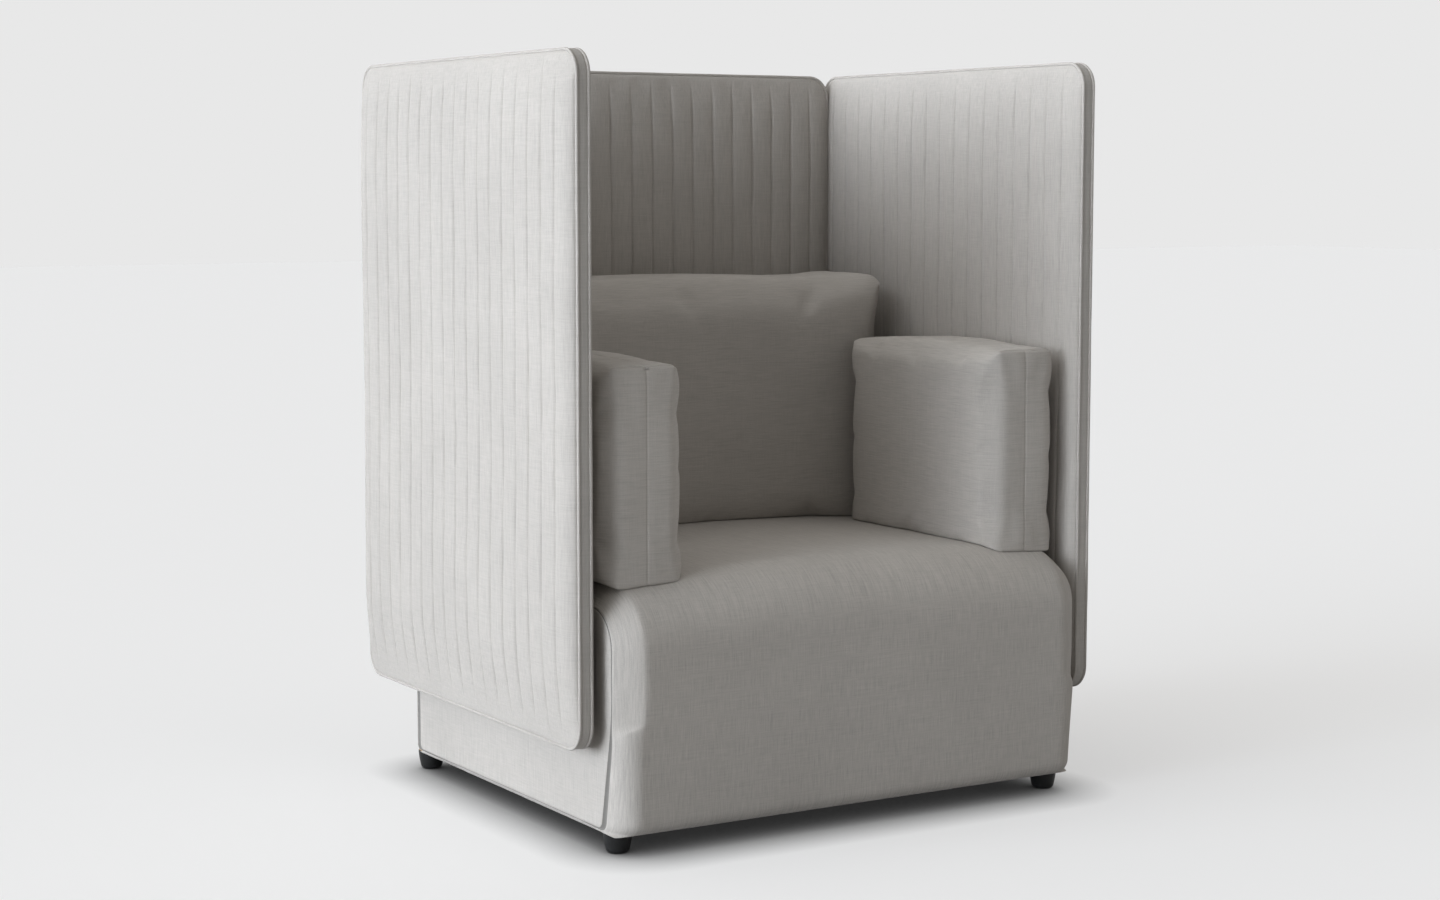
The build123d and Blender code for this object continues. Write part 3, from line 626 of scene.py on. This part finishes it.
def close_face(points, row_count, column_count, centre, out, level):
    """Adds a wall round a grid of points, down to a flat back at a level; gives all faces."""
    loop = list(range(column_count))
    loop += [r * column_count + column_count - 1 for r in range(1, row_count)]
    loop += [(row_count - 1) * column_count + c for c in range(column_count - 2, -1, -1)]
    loop += [r * column_count for r in range(row_count - 2, 0, -1)]
    base, ring = len(points), len(loop)
    for index in loop:
        rim_point = points[index]
        points.append(rim_point - out * ((rim_point - centre).dot(out) - level))
    faces = strip_faces(row_count, column_count)
    for i in range(ring):
        after = (i + 1) % ring
        faces.append((loop[i], loop[after], base + after, base + i))
    faces.append(tuple(base + i for i in range(ring)))
    return faces


def quilted_face(name, screen, way, crown, shoulder, seed):
    """One quilted face of a screen, sewn in upright channels and full like a pillow."""
    centre, out, across, half_wide, half_tall, half_core = screen
    out, across = out * way, across * way
    wide, tall = half_wide - COVER_INSET, half_tall - COVER_INSET
    count = round(2 * wide / CHANNEL)
    pitch = 2 * wide / count
    columns = [pitch * (k + f) - wide for k in range(count) for f in BETWEEN] + [wide]
    rows = face_rows(tall)
    points = []
    for z in rows:
        for a in columns:
            x, to_side, to_end = fit_outline(a, z, wide, tall)
            line = (a + wide) / pitch
            ends = roll(to_end, TOP_SHOULDER) if z > 0 else fall(to_end, FOOT_SHOULDER, FOOT_POWER)
            pillow = roll(to_side, shoulder) * ends
            belly = math.exp(-(((z - BELLY_LEVEL) / BELLY_TALL) ** 2))
            sewn = smooth_step(to_end, *SEWN_ENDS) * smooth_step(to_side, *SEWN_SIDES)
            height = RIM + ROLL_FULL * roll(min(to_side, to_end), ROLL_RUN) + crown * pillow
            height += BELLY_FULL * belly * roll(to_side, BELLY_SHOULDER)
            height += sewn * channel_relief(line, z, pitch, seed)
            height += loose_relief(x, z, line, to_end, pillow, seed)
            sway = STITCH_SWAY * ripple((round(line), z, seed), 0.11) * sewn
            place = centre + across * (x + sway) + Vector((0, 0, z))
            points.append(place + out * (half_core + height))
    faces = close_face(points, len(rows), len(columns), centre, out, half_core + FACE_BACK)
    piece = make_object(name, points, faces)
    quads = [len(p.vertices) == 4 for p in piece.data.polygons]
    piece.data.polygons.foreach_set("use_smooth", quads)
    return piece


def outline_path(half_wide, half_tall, radius):
    """Points and outward directions round a rounded rectangle."""
    arc_steps = 14
    path = []
    x, z = half_wide - radius, half_tall - radius
    centres = [Vector((x, -z)), Vector((x, z)), Vector((-x, z)), Vector((-x, -z))]
    for index, centre in enumerate(centres):
        for step in range(arc_steps + 1):
            angle = math.pi / 2 * (index - 1 + step / arc_steps)
            way = Vector((math.cos(angle), math.sin(angle)))
            path.append((centre + way * radius, way))
        here, target = path[-1][0], centres[(index + 1) % 4] + way * radius
        steps = max(round((target - here).length / RIM_SPACING), 1)
        path += [(here.lerp(target, s / steps), way) for s in range(1, steps)]
    return path


def welts(name, screen):
    """The two cloth-covered pipings that finish the rim of a screen."""
    centre, out, across, half_wide, half_tall, half_core = screen
    path = outline_path(half_wide - TUCK, half_tall - TUCK, SCREEN_CORNER - TUCK)
    level = half_core + PIPE_AIR + PIPE
    points, faces = [], []
    for way in (-1, 1):
        first = len(points)
        for flat, outward in path:
            radial = across * outward.x + Vector((0, 0, outward.y))
            sway = PIPE_SWAY * ripple((flat.x, flat.y, way), 0.08, 1.0)
            swell = 1 + 0.05 * ripple((flat.x, flat.y, way), 0.013, 2.0)
            middle = centre + across * flat.x + Vector((0, 0, flat.y))
            middle += radial * sway + out * (way * level)
            for k in range(PIPE_SIDES):
                angle = 2 * math.pi * k / PIPE_SIDES
                offset = radial * math.cos(angle) + out * math.sin(angle)
                points.append(middle + offset * PIPE * swell)
        faces += strip_faces(len(path), PIPE_SIDES, first, closed_rows=True, closed_columns=True)
    return make_object(name, points, faces)


def edge_band(name, screen):
    """The strip of cloth round the rim, between the two pipings."""
    centre, out, across, half_wide, half_tall, half_core = screen
    path = outline_path(half_wide, half_tall, SCREEN_CORNER)
    reach = half_core + BAND_LAP
    section = []
    for k in range(BAND_STEPS + 1):
        t = 2 * k / BAND_STEPS - 1
        rise = BAND_FULL * (1 - t * t) - BAND_SINK - BAND_TURN * abs(t) ** 6
        section.append((t * reach, rise, rise > -2 * MM))
    section += [(reach, -BAND_BACK, False), (-reach, -BAND_BACK, False)]
    points = []
    for flat, outward in path:
        radial = across * outward.x + Vector((0, 0, outward.y))
        wave = BAND_WAVE * ripple((flat.x, flat.y, 0), 0.05, 3.0)
        place = centre + across * flat.x + Vector((0, 0, flat.y))
        for along, rise, loose in section:
            points.append(place + out * along + radial * (rise + (wave if loose else 0)))
    faces = strip_faces(len(path), len(section), closed_rows=True, closed_columns=True)
    return make_object(name, points, faces)


def dress_screen(name, outward, seed):
    """Both quilted faces, the welts and the band of one screen."""
    lo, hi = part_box(f"{name}_edge_band")
    centre = (lo + hi) / 2
    size = (hi - lo) / 2
    out = Vector(outward)
    across = Vector((0, 0, 1)).cross(out)
    half_wide = abs(size.dot(Vector(map(abs, across))))
    half_core = abs(size.dot(Vector(map(abs, out))))
    screen = (centre, out, across, half_wide, size.z, half_core)
    for layer, way, shoulder in (("outer", 1, OUTER_SHOULDER), ("inner", -1, INNER_SHOULDER)):
        lo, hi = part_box(f"{name}_{layer}_cover")
        reach = max(abs((c - centre).dot(out)) for c in (lo, hi))
        crown = reach - half_core - RIM - ROLL_FULL - CHANNEL_FULL
        piece = quilted_face(f"{name}_{layer}_quilt", screen, way, crown, shoulder, seed + way)
        finish_piece(
            piece, "chair", screen_cloth, "screen_fabric",
            f"{name}_{layer}_cover", f"{name}_{layer}_foam",
        )
    piece = welts(f"{name}_welts", screen)
    finish_piece(piece, "chair", welt_cloth, "piping_fabric", f"{name}_piping")
    piece = edge_band(f"{name}_band", screen)
    finish_piece(piece, "chair", band_cloth, "piping_fabric", f"{name}_edge_band")


dress_screen("left_screen", (-1, 0, 0), 11.0)
dress_screen("right_screen", (1, 0, 0), 23.0)
dress_screen("back_screen", (0, 1, 0), 37.0)

# ------------ cushions
ARM_CUSHION = {
    "thin": 0,          # index of the axis across its thickness
    "height": 414 * MM,  # with the part that the seat presses flat
    "spacing": 9 * MM,  # of its points, before they are refined
    "bow": (5 * MM, 4 * MM, 11 * MM),  # how far each pair of faces stands out in the middle
    "panel_edge": 34 * MM,  # rounding of the edges, across the panels
    "side_edge": 26 * MM,  # and across the narrow sides
    "corner": 4 * MM,   # rounding of the panels' corners
    "cap": 13 * MM,     # how far air may move a point
}
BACK_CUSHION = {
    "thin": 1,
    "height": 546 * MM,
    "spacing": 11 * MM,
    "bow": (1 * MM, 14 * MM, 12 * MM),
    "panel_edge": 105 * MM,
    "side_edge": 60 * MM,
    "corner": 26 * MM,
    "cap": 16 * MM,
}
BOW_FULL = 1.6          # the seams hold less than the corners do
CORNER_THINNING = 0.06  # a cushion is this share thinner at its corners
CORNER_DRAW = 0.45      # and its edges are rounded this share less
CORNER_RUN = (0.55, 0.95)  # from the middle to a corner, where that begins and is whole
UNEVEN = 0.5 * MM
SWELLING_CLOTH = {
    "quality": 6, "mass": 0.25, "air_damping": 1.0,
    "tension_stiffness": 18, "compression_stiffness": 18,
    "shear_stiffness": 8, "bending_stiffness": 1.2,
    "use_pressure": True, "uniform_pressure_force": 4.0,
    "shrink_min": -0.012,  # below 0 the cloth grows
}
LAST_FRAME = 20
SEAM_CUTS = (-5, -2.6, -1.2, 0, 1.2, 2.6, 5)  # mm from the middle of a seam
SEAM_LINE = (1.3 * MM, 1.5 * MM)  # depth and width of the stitched line itself
SEAM_HOLLOW = (1.2 * MM, 12 * MM)  # and of the hollow that it draws in
SEAM_RUN = (0.9, 0.94)  # share of the half size where that begins and is whole
CUT_FROM = 0.93         # share beyond which its loops are cut
CROSS_LINE = (2.2 * MM, 1.6 * MM)
CROSS_RUN = 34 * MM     # how far from its corner a cross seam shows
CROSS_CUT_END = 6 * MM  # its cuts stop this far before the panels
CROSS_END = 4 * MM      # and the seam itself this far
CROSS_FADE = (3 * MM, 14 * MM)
REST_GAP = 1 * MM       # cushion over the seat
LEAN_GAP = 0.2 * MM     # back cushion off its rearmost plane


def lattice_box(counts):
    """Points and quads of a closed box surface, as whole-number lattice places."""
    places, faces = {}, []

    def point(place):
        return places.setdefault(place, len(places))

    for axis in range(3):
        u, v = [a for a in range(3) if a != axis]
        for end, i, j in product((0, counts[axis]), range(counts[u]), range(counts[v])):
            quad = []
            for di, dj in ((0, 0), (1, 0), (1, 1), (0, 1)):
                place = [0, 0, 0]
                place[axis], place[u], place[v] = end, i + di, j + dj
                quad.append(point(tuple(place)))
            faces.append(tuple(quad))
    return list(places), faces


def inflate(piece, cap):
    """Swells a closed piece with air, and moves no point further than cap."""
    rest = [v.co.copy() for v in piece.data.vertices]
    cloth = piece.modifiers.new("swell", "CLOTH")
    for setting, value in SWELLING_CLOTH.items():
        setattr(cloth.settings, setting, value)
    cloth.settings.effector_weights.gravity = 0
    cloth.collision_settings.use_collision = False
    cloth.point_cache.frame_start = 1
    cloth.point_cache.frame_end = LAST_FRAME
    for number in range(1, LAST_FRAME + 1):
        scene.frame_set(number)
    graph = bpy.context.evaluated_depsgraph_get()
    swollen = [v.co.copy() for v in piece.evaluated_get(graph).data.vertices]
    piece.modifiers.remove(cloth)
    scene.frame_set(1)
    for vertex, before, after in zip(piece.data.vertices, rest, swollen):
        move = after - before
        if move.length > cap:
            move *= cap / move.length
        vertex.co = before + move
    piece.data.update()


def refine(piece):
    """Divides a piece's faces once, with smooth curves between its points."""
    divide = piece.modifiers.new("refine", "SUBSURF")
    divide.levels = divide.render_levels = 1
    graph = bpy.context.evaluated_depsgraph_get()
    fine = bpy.data.meshes.new_from_object(piece.evaluated_get(graph))
    piece.modifiers.clear()
    piece.data = fine


def round_pair(spot, start, a, b, reach_a, reach_b):
    """Rounds the box edge that lies between the axes a and b, in place."""
    beyond_a = (abs(spot[a]) - start[a]) / reach_a + 1
    beyond_b = (abs(spot[b]) - start[b]) / reach_b + 1
    if beyond_a <= 0 or beyond_b <= 0:
        return
    shorten = max(beyond_a, beyond_b) / math.hypot(beyond_a, beyond_b)
    for axis, beyond, reach in ((a, beyond_a, reach_a), (b, beyond_b, reach_b)):
        spot[axis] = math.copysign(start[axis] - reach + beyond * shorten * reach, spot[axis])


def cushion_shape(form, middle, size, seed):
    """Points and faces of a boxed cushion before air fills it."""
    thin = form["thin"]
    u, v = [a for a in range(3) if a != thin]
    bow = Vector(form["bow"])
    start = size - bow
    counts = [max(2 * round(start[a] / form["spacing"]), 4) for a in range(3)]
    places, faces = lattice_box(counts)
    points = []
    for place in places:
        unit = Vector([2 * place[a] / counts[a] - 1 for a in range(3)])
        spot = Vector([unit[a] * start[a] for a in range(3)])
        round_pair(spot, start, u, v, form["corner"], form["corner"])
        keep = 1 - CORNER_DRAW * smooth_step(min(abs(unit[u]), abs(unit[v])), *CORNER_RUN)
        rim_axis = u if start[u] - abs(spot[u]) < start[v] - abs(spot[v]) else v
        round_pair(spot, start, rim_axis, thin, form["panel_edge"] * keep, form["side_edge"] * keep)
        for a, b in ((u, v), (v, u)):
            spot[a] += BOW_FULL * bow[a] * (1 - unit[b] ** 2) * unit[a] ** 3
        spot[thin] *= 1 - CORNER_THINNING * abs(unit[u] * unit[v]) ** 3
        spot += Vector([UNEVEN * ripple(spot, 0.07, seed + a) for a in range(3)])
        points.append(middle + spot)
    return points, faces


def bell(distance, depth, width):
    """Depth of a groove at a distance from its middle line."""
    return depth * math.exp(-((distance / width) ** 2))


def cut_seam(mesh, point, normal, near):
    """Cuts edge loops beside a seam plane through the faces that near() picks."""
    for offset in SEAM_CUTS:
        picked = [f for f in mesh.faces if near(f.calc_center_median())]
        edges = {e for f in picked for e in f.edges}
        corners = {v for f in picked for v in f.verts}
        bmesh.ops.bisect_plane(
            mesh, geom=[*corners, *edges, *picked], dist=1e-6,
            plane_co=point + normal * (offset * MM), plane_no=normal,
        )


class Seams:
    """The middle seam of a cushion, and the cross seams at its four corners."""

    def __init__(self, middle, size, thin, seed):
        self.middle, self.size, self.thin, self.seed = middle, size, thin, seed
        self.u, self.v = [a for a in range(3) if a != thin]
        self.corners = []
        for su, sv in product((-1, 1), (-1, 1)):
            corner, normal = middle.copy(), Vector((0, 0, 0))
            corner[self.u] += su * size[self.u]
            corner[self.v] += sv * size[self.v]
            normal[self.u], normal[self.v] = su, -sv
            self.corners.append((corner, normal.normalized()))

    def outward(self, place):
        """1 for a place on the narrow sides, less inside them."""
        way = place - self.middle
        return max(abs(way[a]) / self.size[a] for a in (self.u, self.v))

    def from_corner(self, place, corner):
        """The way from a corner of the panels, along them."""
        flat = place - corner
        flat[self.thin] = 0
        return flat

    def off(self, place):
        """Distance from the middle seam, across the thickness."""
        return abs(place[self.thin] - self.middle[self.thin])

    def cut(self, mesh):
        """Cuts in the edge loops that the seams need."""
        axis = Vector([1.0 if a == self.thin else 0.0 for a in range(3)])
        cut_seam(mesh, self.middle, axis, lambda place: self.outward(place) > CUT_FROM)
        for corner, normal in self.corners:

            def by_corner(place, corner=corner):
                near = self.from_corner(place, corner).length < CROSS_RUN
                return near and self.off(place) < self.size[self.thin] - CROSS_CUT_END

            cut_seam(mesh, corner, normal, by_corner)

    def depth(self, place):
        """How far the seams draw the cloth in at a place."""
        outward, off = self.outward(place), self.off(place)
        sunk = 0.0
        if outward > SEAM_RUN[0]:
            sunk = bell(off, *SEAM_LINE) + bell(off, *SEAM_HOLLOW)
            sunk *= smooth_step(outward, *SEAM_RUN)
            sunk *= 0.85 + 0.4 * ripple(place, 0.018, self.seed)
        half_thick = self.size[self.thin]
        for corner, normal in self.corners:
            flat = self.from_corner(place, corner)
            if flat.length <= CROSS_RUN and off <= half_thick - CROSS_END:
                hold = smooth_step(half_thick - off, *CROSS_FADE)
                sunk = max(sunk, hold * bell(flat.dot(normal), *CROSS_LINE))
        return sunk


def sew(piece, seams):
    """Draws the seams into a swollen cushion."""
    mesh = bmesh.new()
    mesh.from_mesh(piece.data)
    seams.cut(mesh)
    mesh.normal_update()
    moves = [(vertex, vertex.normal * seams.depth(vertex.co)) for vertex in mesh.verts]
    for vertex, move in moves:
        vertex.co -= move
    mesh.to_mesh(piece.data)
    mesh.free()


def settle(piece, rearmost):
    """Rests a cushion on the seat and keeps it off what it leans on."""
    for vertex in piece.data.vertices:
        spot = vertex.co
        spot.z = max(spot.z, seat_top(spot.x, spot.y) + REST_GAP)
        if spot.y > rearmost:
            spot.y = rearmost - LEAN_GAP


def cushion(name, form, seed):
    """A boxed cushion: two panels joined round the middle of the narrow sides.

    Each corner of the panels is sewn across, which gives a short seam there.
    """
    lo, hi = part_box(f"{name}_cover")
    lo.z = hi.z - form["height"]
    middle, size = (lo + hi) / 2, (hi - lo) / 2
    piece = make_object(name, *cushion_shape(form, middle, size, seed))
    inflate(piece, form["cap"])
    refine(piece)
    sew(piece, Seams(middle, size, form["thin"], seed))
    settle(piece, hi.y if form is BACK_CUSHION else math.inf)
    piece.data.polygons.foreach_set("use_smooth", [True] * len(piece.data.polygons))
    finish_piece(
        piece, name, cushion_cloth, "cushion_fabric", f"{name}_cover", f"{name}_filling"
    )


cushion("left_arm_cushion", ARM_CUSHION, 41.0)
cushion("right_arm_cushion", ARM_CUSHION, 53.0)
cushion("back_cushion", BACK_CUSHION, 67.0)

# ------------ carried-over pieces
FOOT_EDGE = 8 * MM      # rounding of its lower edge
FOOT_TAPER = 0.16       # share of the radius that it loses on the way down
FOOT_CURVE = 1.7        # it loses most of it low down
FOOT_SIDES = 48


def foot_outline(radius, tall):
    """Radius and height of a foot's points from the middle of its top to that of its sole."""
    wall_steps, edge_steps = 8, 7
    outline = [(0, tall), (radius, tall)]
    for step in range(1, wall_steps + 1):
        t = step / wall_steps
        narrowed = radius * (1 - FOOT_TAPER * t**FOOT_CURVE)
        outline.append((narrowed, lerp(tall, FOOT_EDGE, t)))
    foot_radius = radius * (1 - FOOT_TAPER)
    for step in range(1, edge_steps + 1):
        angle = math.pi / 2 * step / edge_steps
        inward, up = FOOT_EDGE * (1 - math.cos(angle)), FOOT_EDGE * (1 - math.sin(angle))
        outline.append((foot_radius - inward, up))
    return outline + [(0, 0)]


def foot_cup(node_name):
    """A turned foot: a full tapered cup with a rounded lower edge."""
    lo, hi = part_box(node_name)
    middle = (lo + hi) / 2
    outline = foot_outline((hi.x - lo.x) / 2, hi.z - lo.z)
    points = []
    for r, z in outline:
        for k in range(FOOT_SIDES):
            turn = 2 * math.pi * k / FOOT_SIDES
            across, along = r * math.cos(turn), r * math.sin(turn)
            points.append((middle.x + across, middle.y + along, lo.z + z))
    faces = strip_faces(len(outline), FOOT_SIDES, closed_columns=True)
    piece = make_object(f"{node_name}_cup", points, faces)
    finish_piece(piece, "chair", foot_plastic, "foot_plastic", node_name)


for end, side in product(("front", "rear"), ("left", "right")):
    foot_cup(f"foot_{end}_{side}")

SIDES = ("front", "rear", "left", "right")
WOODEN = ["centre_rail", "corner_posts", "corner_pins"]
WOODEN += [f"{side}_{kind}" for side, kind in product(SIDES, ("board", "rail"))]
WOODEN += [f"{side}_screen_board" for side in ("left", "right", "back")]
CARRIED_OVER = (
    (timber, WOODEN),
    (spacer_plastic, ["screen_spacers"]),
    (steel, ["frame_screws", "foot_studs", "tee_nuts", "screen_bolts"]),
)
for material, names in CARRIED_OVER:
    for node_name in names:
        for slot in nodes[node_name].material_slots:
            slot.material = material

# ------------ stage, light
PAPER = 0.807           # linear grey of the plain background
FLOOR_SIZE = 60.0
FLOOR_SEEN = 0.42       # grey of the floor to the camera
FLOOR_FLECK = 0.002     # how much that grey varies
FLOOR_LIFT = 0.470      # light of its own, so that it meets the background
FLOOR_BOUNCE = 0.42     # grey of the floor as it lights the chair
CONTACT_SHADOW_REACH = 0.11    # painted contact shadow: how near a thing darkens the floor's grey and glow under it
CONTACT_SHADOW_POWER = 1.3
COOL = (0.885, 0.95, 1.04)
PLAIN = (1.0, 0.985, 0.96)
WORLD_LIGHTS = (        # direction it comes from, strength, narrowness, colour
    ((-1.0, 0.0, 0.0), 18.5, 14.0, COOL),
    ((0.0, 0.0, 1.0), 0.50, 3.0, PLAIN),
    ((-0.35, 0.55, 0.75), 1.2, 4.0, PLAIN),
    ((-0.72, -0.68, 0.10), 0.45, 6.0, PLAIN),
    ((0.80, -0.60, 0.08), 1.15, 6.0, PLAIN),
)


def add_shaders(tree, first, second):
    node = tree.nodes.new("ShaderNodeAddShader")
    tree.links.new(first, node.inputs[0])
    tree.links.new(second, node.inputs[1])
    return node.outputs[0]


def show_to_camera(tree, lighting, seen, output):
    """Uses the shader seen for rays from the camera, in gloss or through glass."""
    path = tree.nodes.new("ShaderNodeLightPath").outputs
    shown = math_step(tree, "MAXIMUM", path["Is Camera Ray"], path["Is Glossy Ray"])
    shown = math_step(tree, "MAXIMUM", shown, path["Is Transmission Ray"])
    choose = tree.nodes.new("ShaderNodeMixShader")
    for value, socket in zip((shown, lighting, seen), choose.inputs):
        tree.links.new(value, socket)
    tree.links.new(choose.outputs[0], tree.nodes[output].inputs["Surface"])


def studio_floor():
    """Plain pale floor that takes the chair's shadow, with a painted contact shadow under the
    chair.
    """
    s = FLOOR_SIZE / 2
    corners = [(-s, -s, 0), (s, -s, 0), (s, s, 0), (-s, s, 0)]
    floor = make_object("studio_floor", corners, [(0, 1, 2, 3)], smooth=False)
    shader = Shader("studio_floor", 1.0)
    tree = shader.tree
    shader.surface.inputs["Specular IOR Level"].default_value = 0.0
    shader.surface.inputs["Base Color"].default_value = (*(FLOOR_BOUNCE,) * 3, 1.0)
    fleck = shader.noise((3.0,) * 3, 2.0)
    darker, lighter = FLOOR_SEEN * (1 - FLOOR_FLECK), FLOOR_SEEN * (1 + FLOOR_FLECK)
    grey = shader.ramp(fleck, (0.3, darker), (0.7, lighter))
    # painted contact shadow: ambient occlusion darkens the floor's grey and its glow near the chair
    shadow_occlusion = tree.nodes.new("ShaderNodeAmbientOcclusion")
    shadow_occlusion.inputs["Distance"].default_value = CONTACT_SHADOW_REACH
    painted_shadow_factor = shader.math("POWER", shadow_occlusion.outputs["AO"], CONTACT_SHADOW_POWER)
    seen = tree.nodes.new("ShaderNodeBsdfDiffuse")
    shader.link(shader.mix("MULTIPLY", 1.0, grey, painted_shadow_factor), seen.inputs["Color"])
    lift = tree.nodes.new("ShaderNodeEmission")
    shader.link(shader.math("MULTIPLY", painted_shadow_factor, FLOOR_LIFT), lift.inputs["Strength"])
    both = add_shaders(tree, seen.outputs[0], lift.outputs[0])
    show_to_camera(tree, shader.surface.outputs[0], both, "Material Output")
    floor.data.materials.append(shader.material)


def world_light(tree, way, direction, strength, narrowness, colour):
    """A soft light in the world round one direction."""
    dot = tree.nodes.new("ShaderNodeVectorMath")
    dot.operation = "DOT_PRODUCT"
    tree.links.new(way, dot.inputs[0])
    dot.inputs[1].default_value = Vector(direction).normalized()
    value = math_step(tree, "MAXIMUM", dot.outputs["Value"], 0.0)
    value = math_step(tree, "POWER", value, narrowness)
    value = math_step(tree, "MULTIPLY", value, strength)
    shade = tree.nodes.new("ShaderNodeBackground")
    shade.inputs["Color"].default_value = (*colour, 1.0)
    tree.links.new(value, shade.inputs["Strength"])
    return shade.outputs[0]


def studio_world():
    """Soft light from a wide bright side, seen as a plain grey by the camera."""
    world = bpy.data.worlds.new("studio")
    scene.world = world
    world.use_nodes = True
    tree = world.node_tree
    tree.nodes.remove(tree.nodes["Background"])
    way = tree.nodes.new("ShaderNodeTexCoord").outputs["Generated"]
    total = world_light(tree, way, *WORLD_LIGHTS[0])
    for light in WORLD_LIGHTS[1:]:
        total = add_shaders(tree, total, world_light(tree, way, *light))
    plain = tree.nodes.new("ShaderNodeBackground")
    plain.inputs["Color"].default_value = (PAPER, PAPER, PAPER, 1.0)
    show_to_camera(tree, total, plain.outputs[0], "World Output")


def sun(name, direction, strength, angle):
    """A soft distant lamp that shines from direction."""
    data = bpy.data.lights.new(name, "SUN")
    data.energy = strength
    data.angle = math.radians(angle)
    lamp = bpy.data.objects.new(name, data)
    lamp.rotation_mode = "QUATERNION"
    lamp.rotation_quaternion = Vector(direction).to_track_quat("Z", "Y")
    scene.collection.objects.link(lamp)


studio_world()
studio_floor()
sun("key", direction=(-0.98, -0.10, 0.18), strength=0.25, angle=60)

# ------------ camera
CAMERA_PLACE = (-2.5376, -4.1544, 1.1332)
YAW = math.radians(31.232)
TILT = math.radians(5.935)
LENS = 64.70            # millimetres, as is the sensor's width
SENSOR_WIDTH = 36.0

camera_data = bpy.data.cameras.new("camera")
camera_data.lens = LENS
camera_data.sensor_width = SENSOR_WIDTH
camera = bpy.data.objects.new("camera", camera_data)
camera.location = CAMERA_PLACE
camera.rotation_euler = (math.pi / 2 - TILT, 0.0, -YAW)
scene.collection.objects.link(camera)
scene.camera = camera
scene.view_settings.view_transform = "Standard"
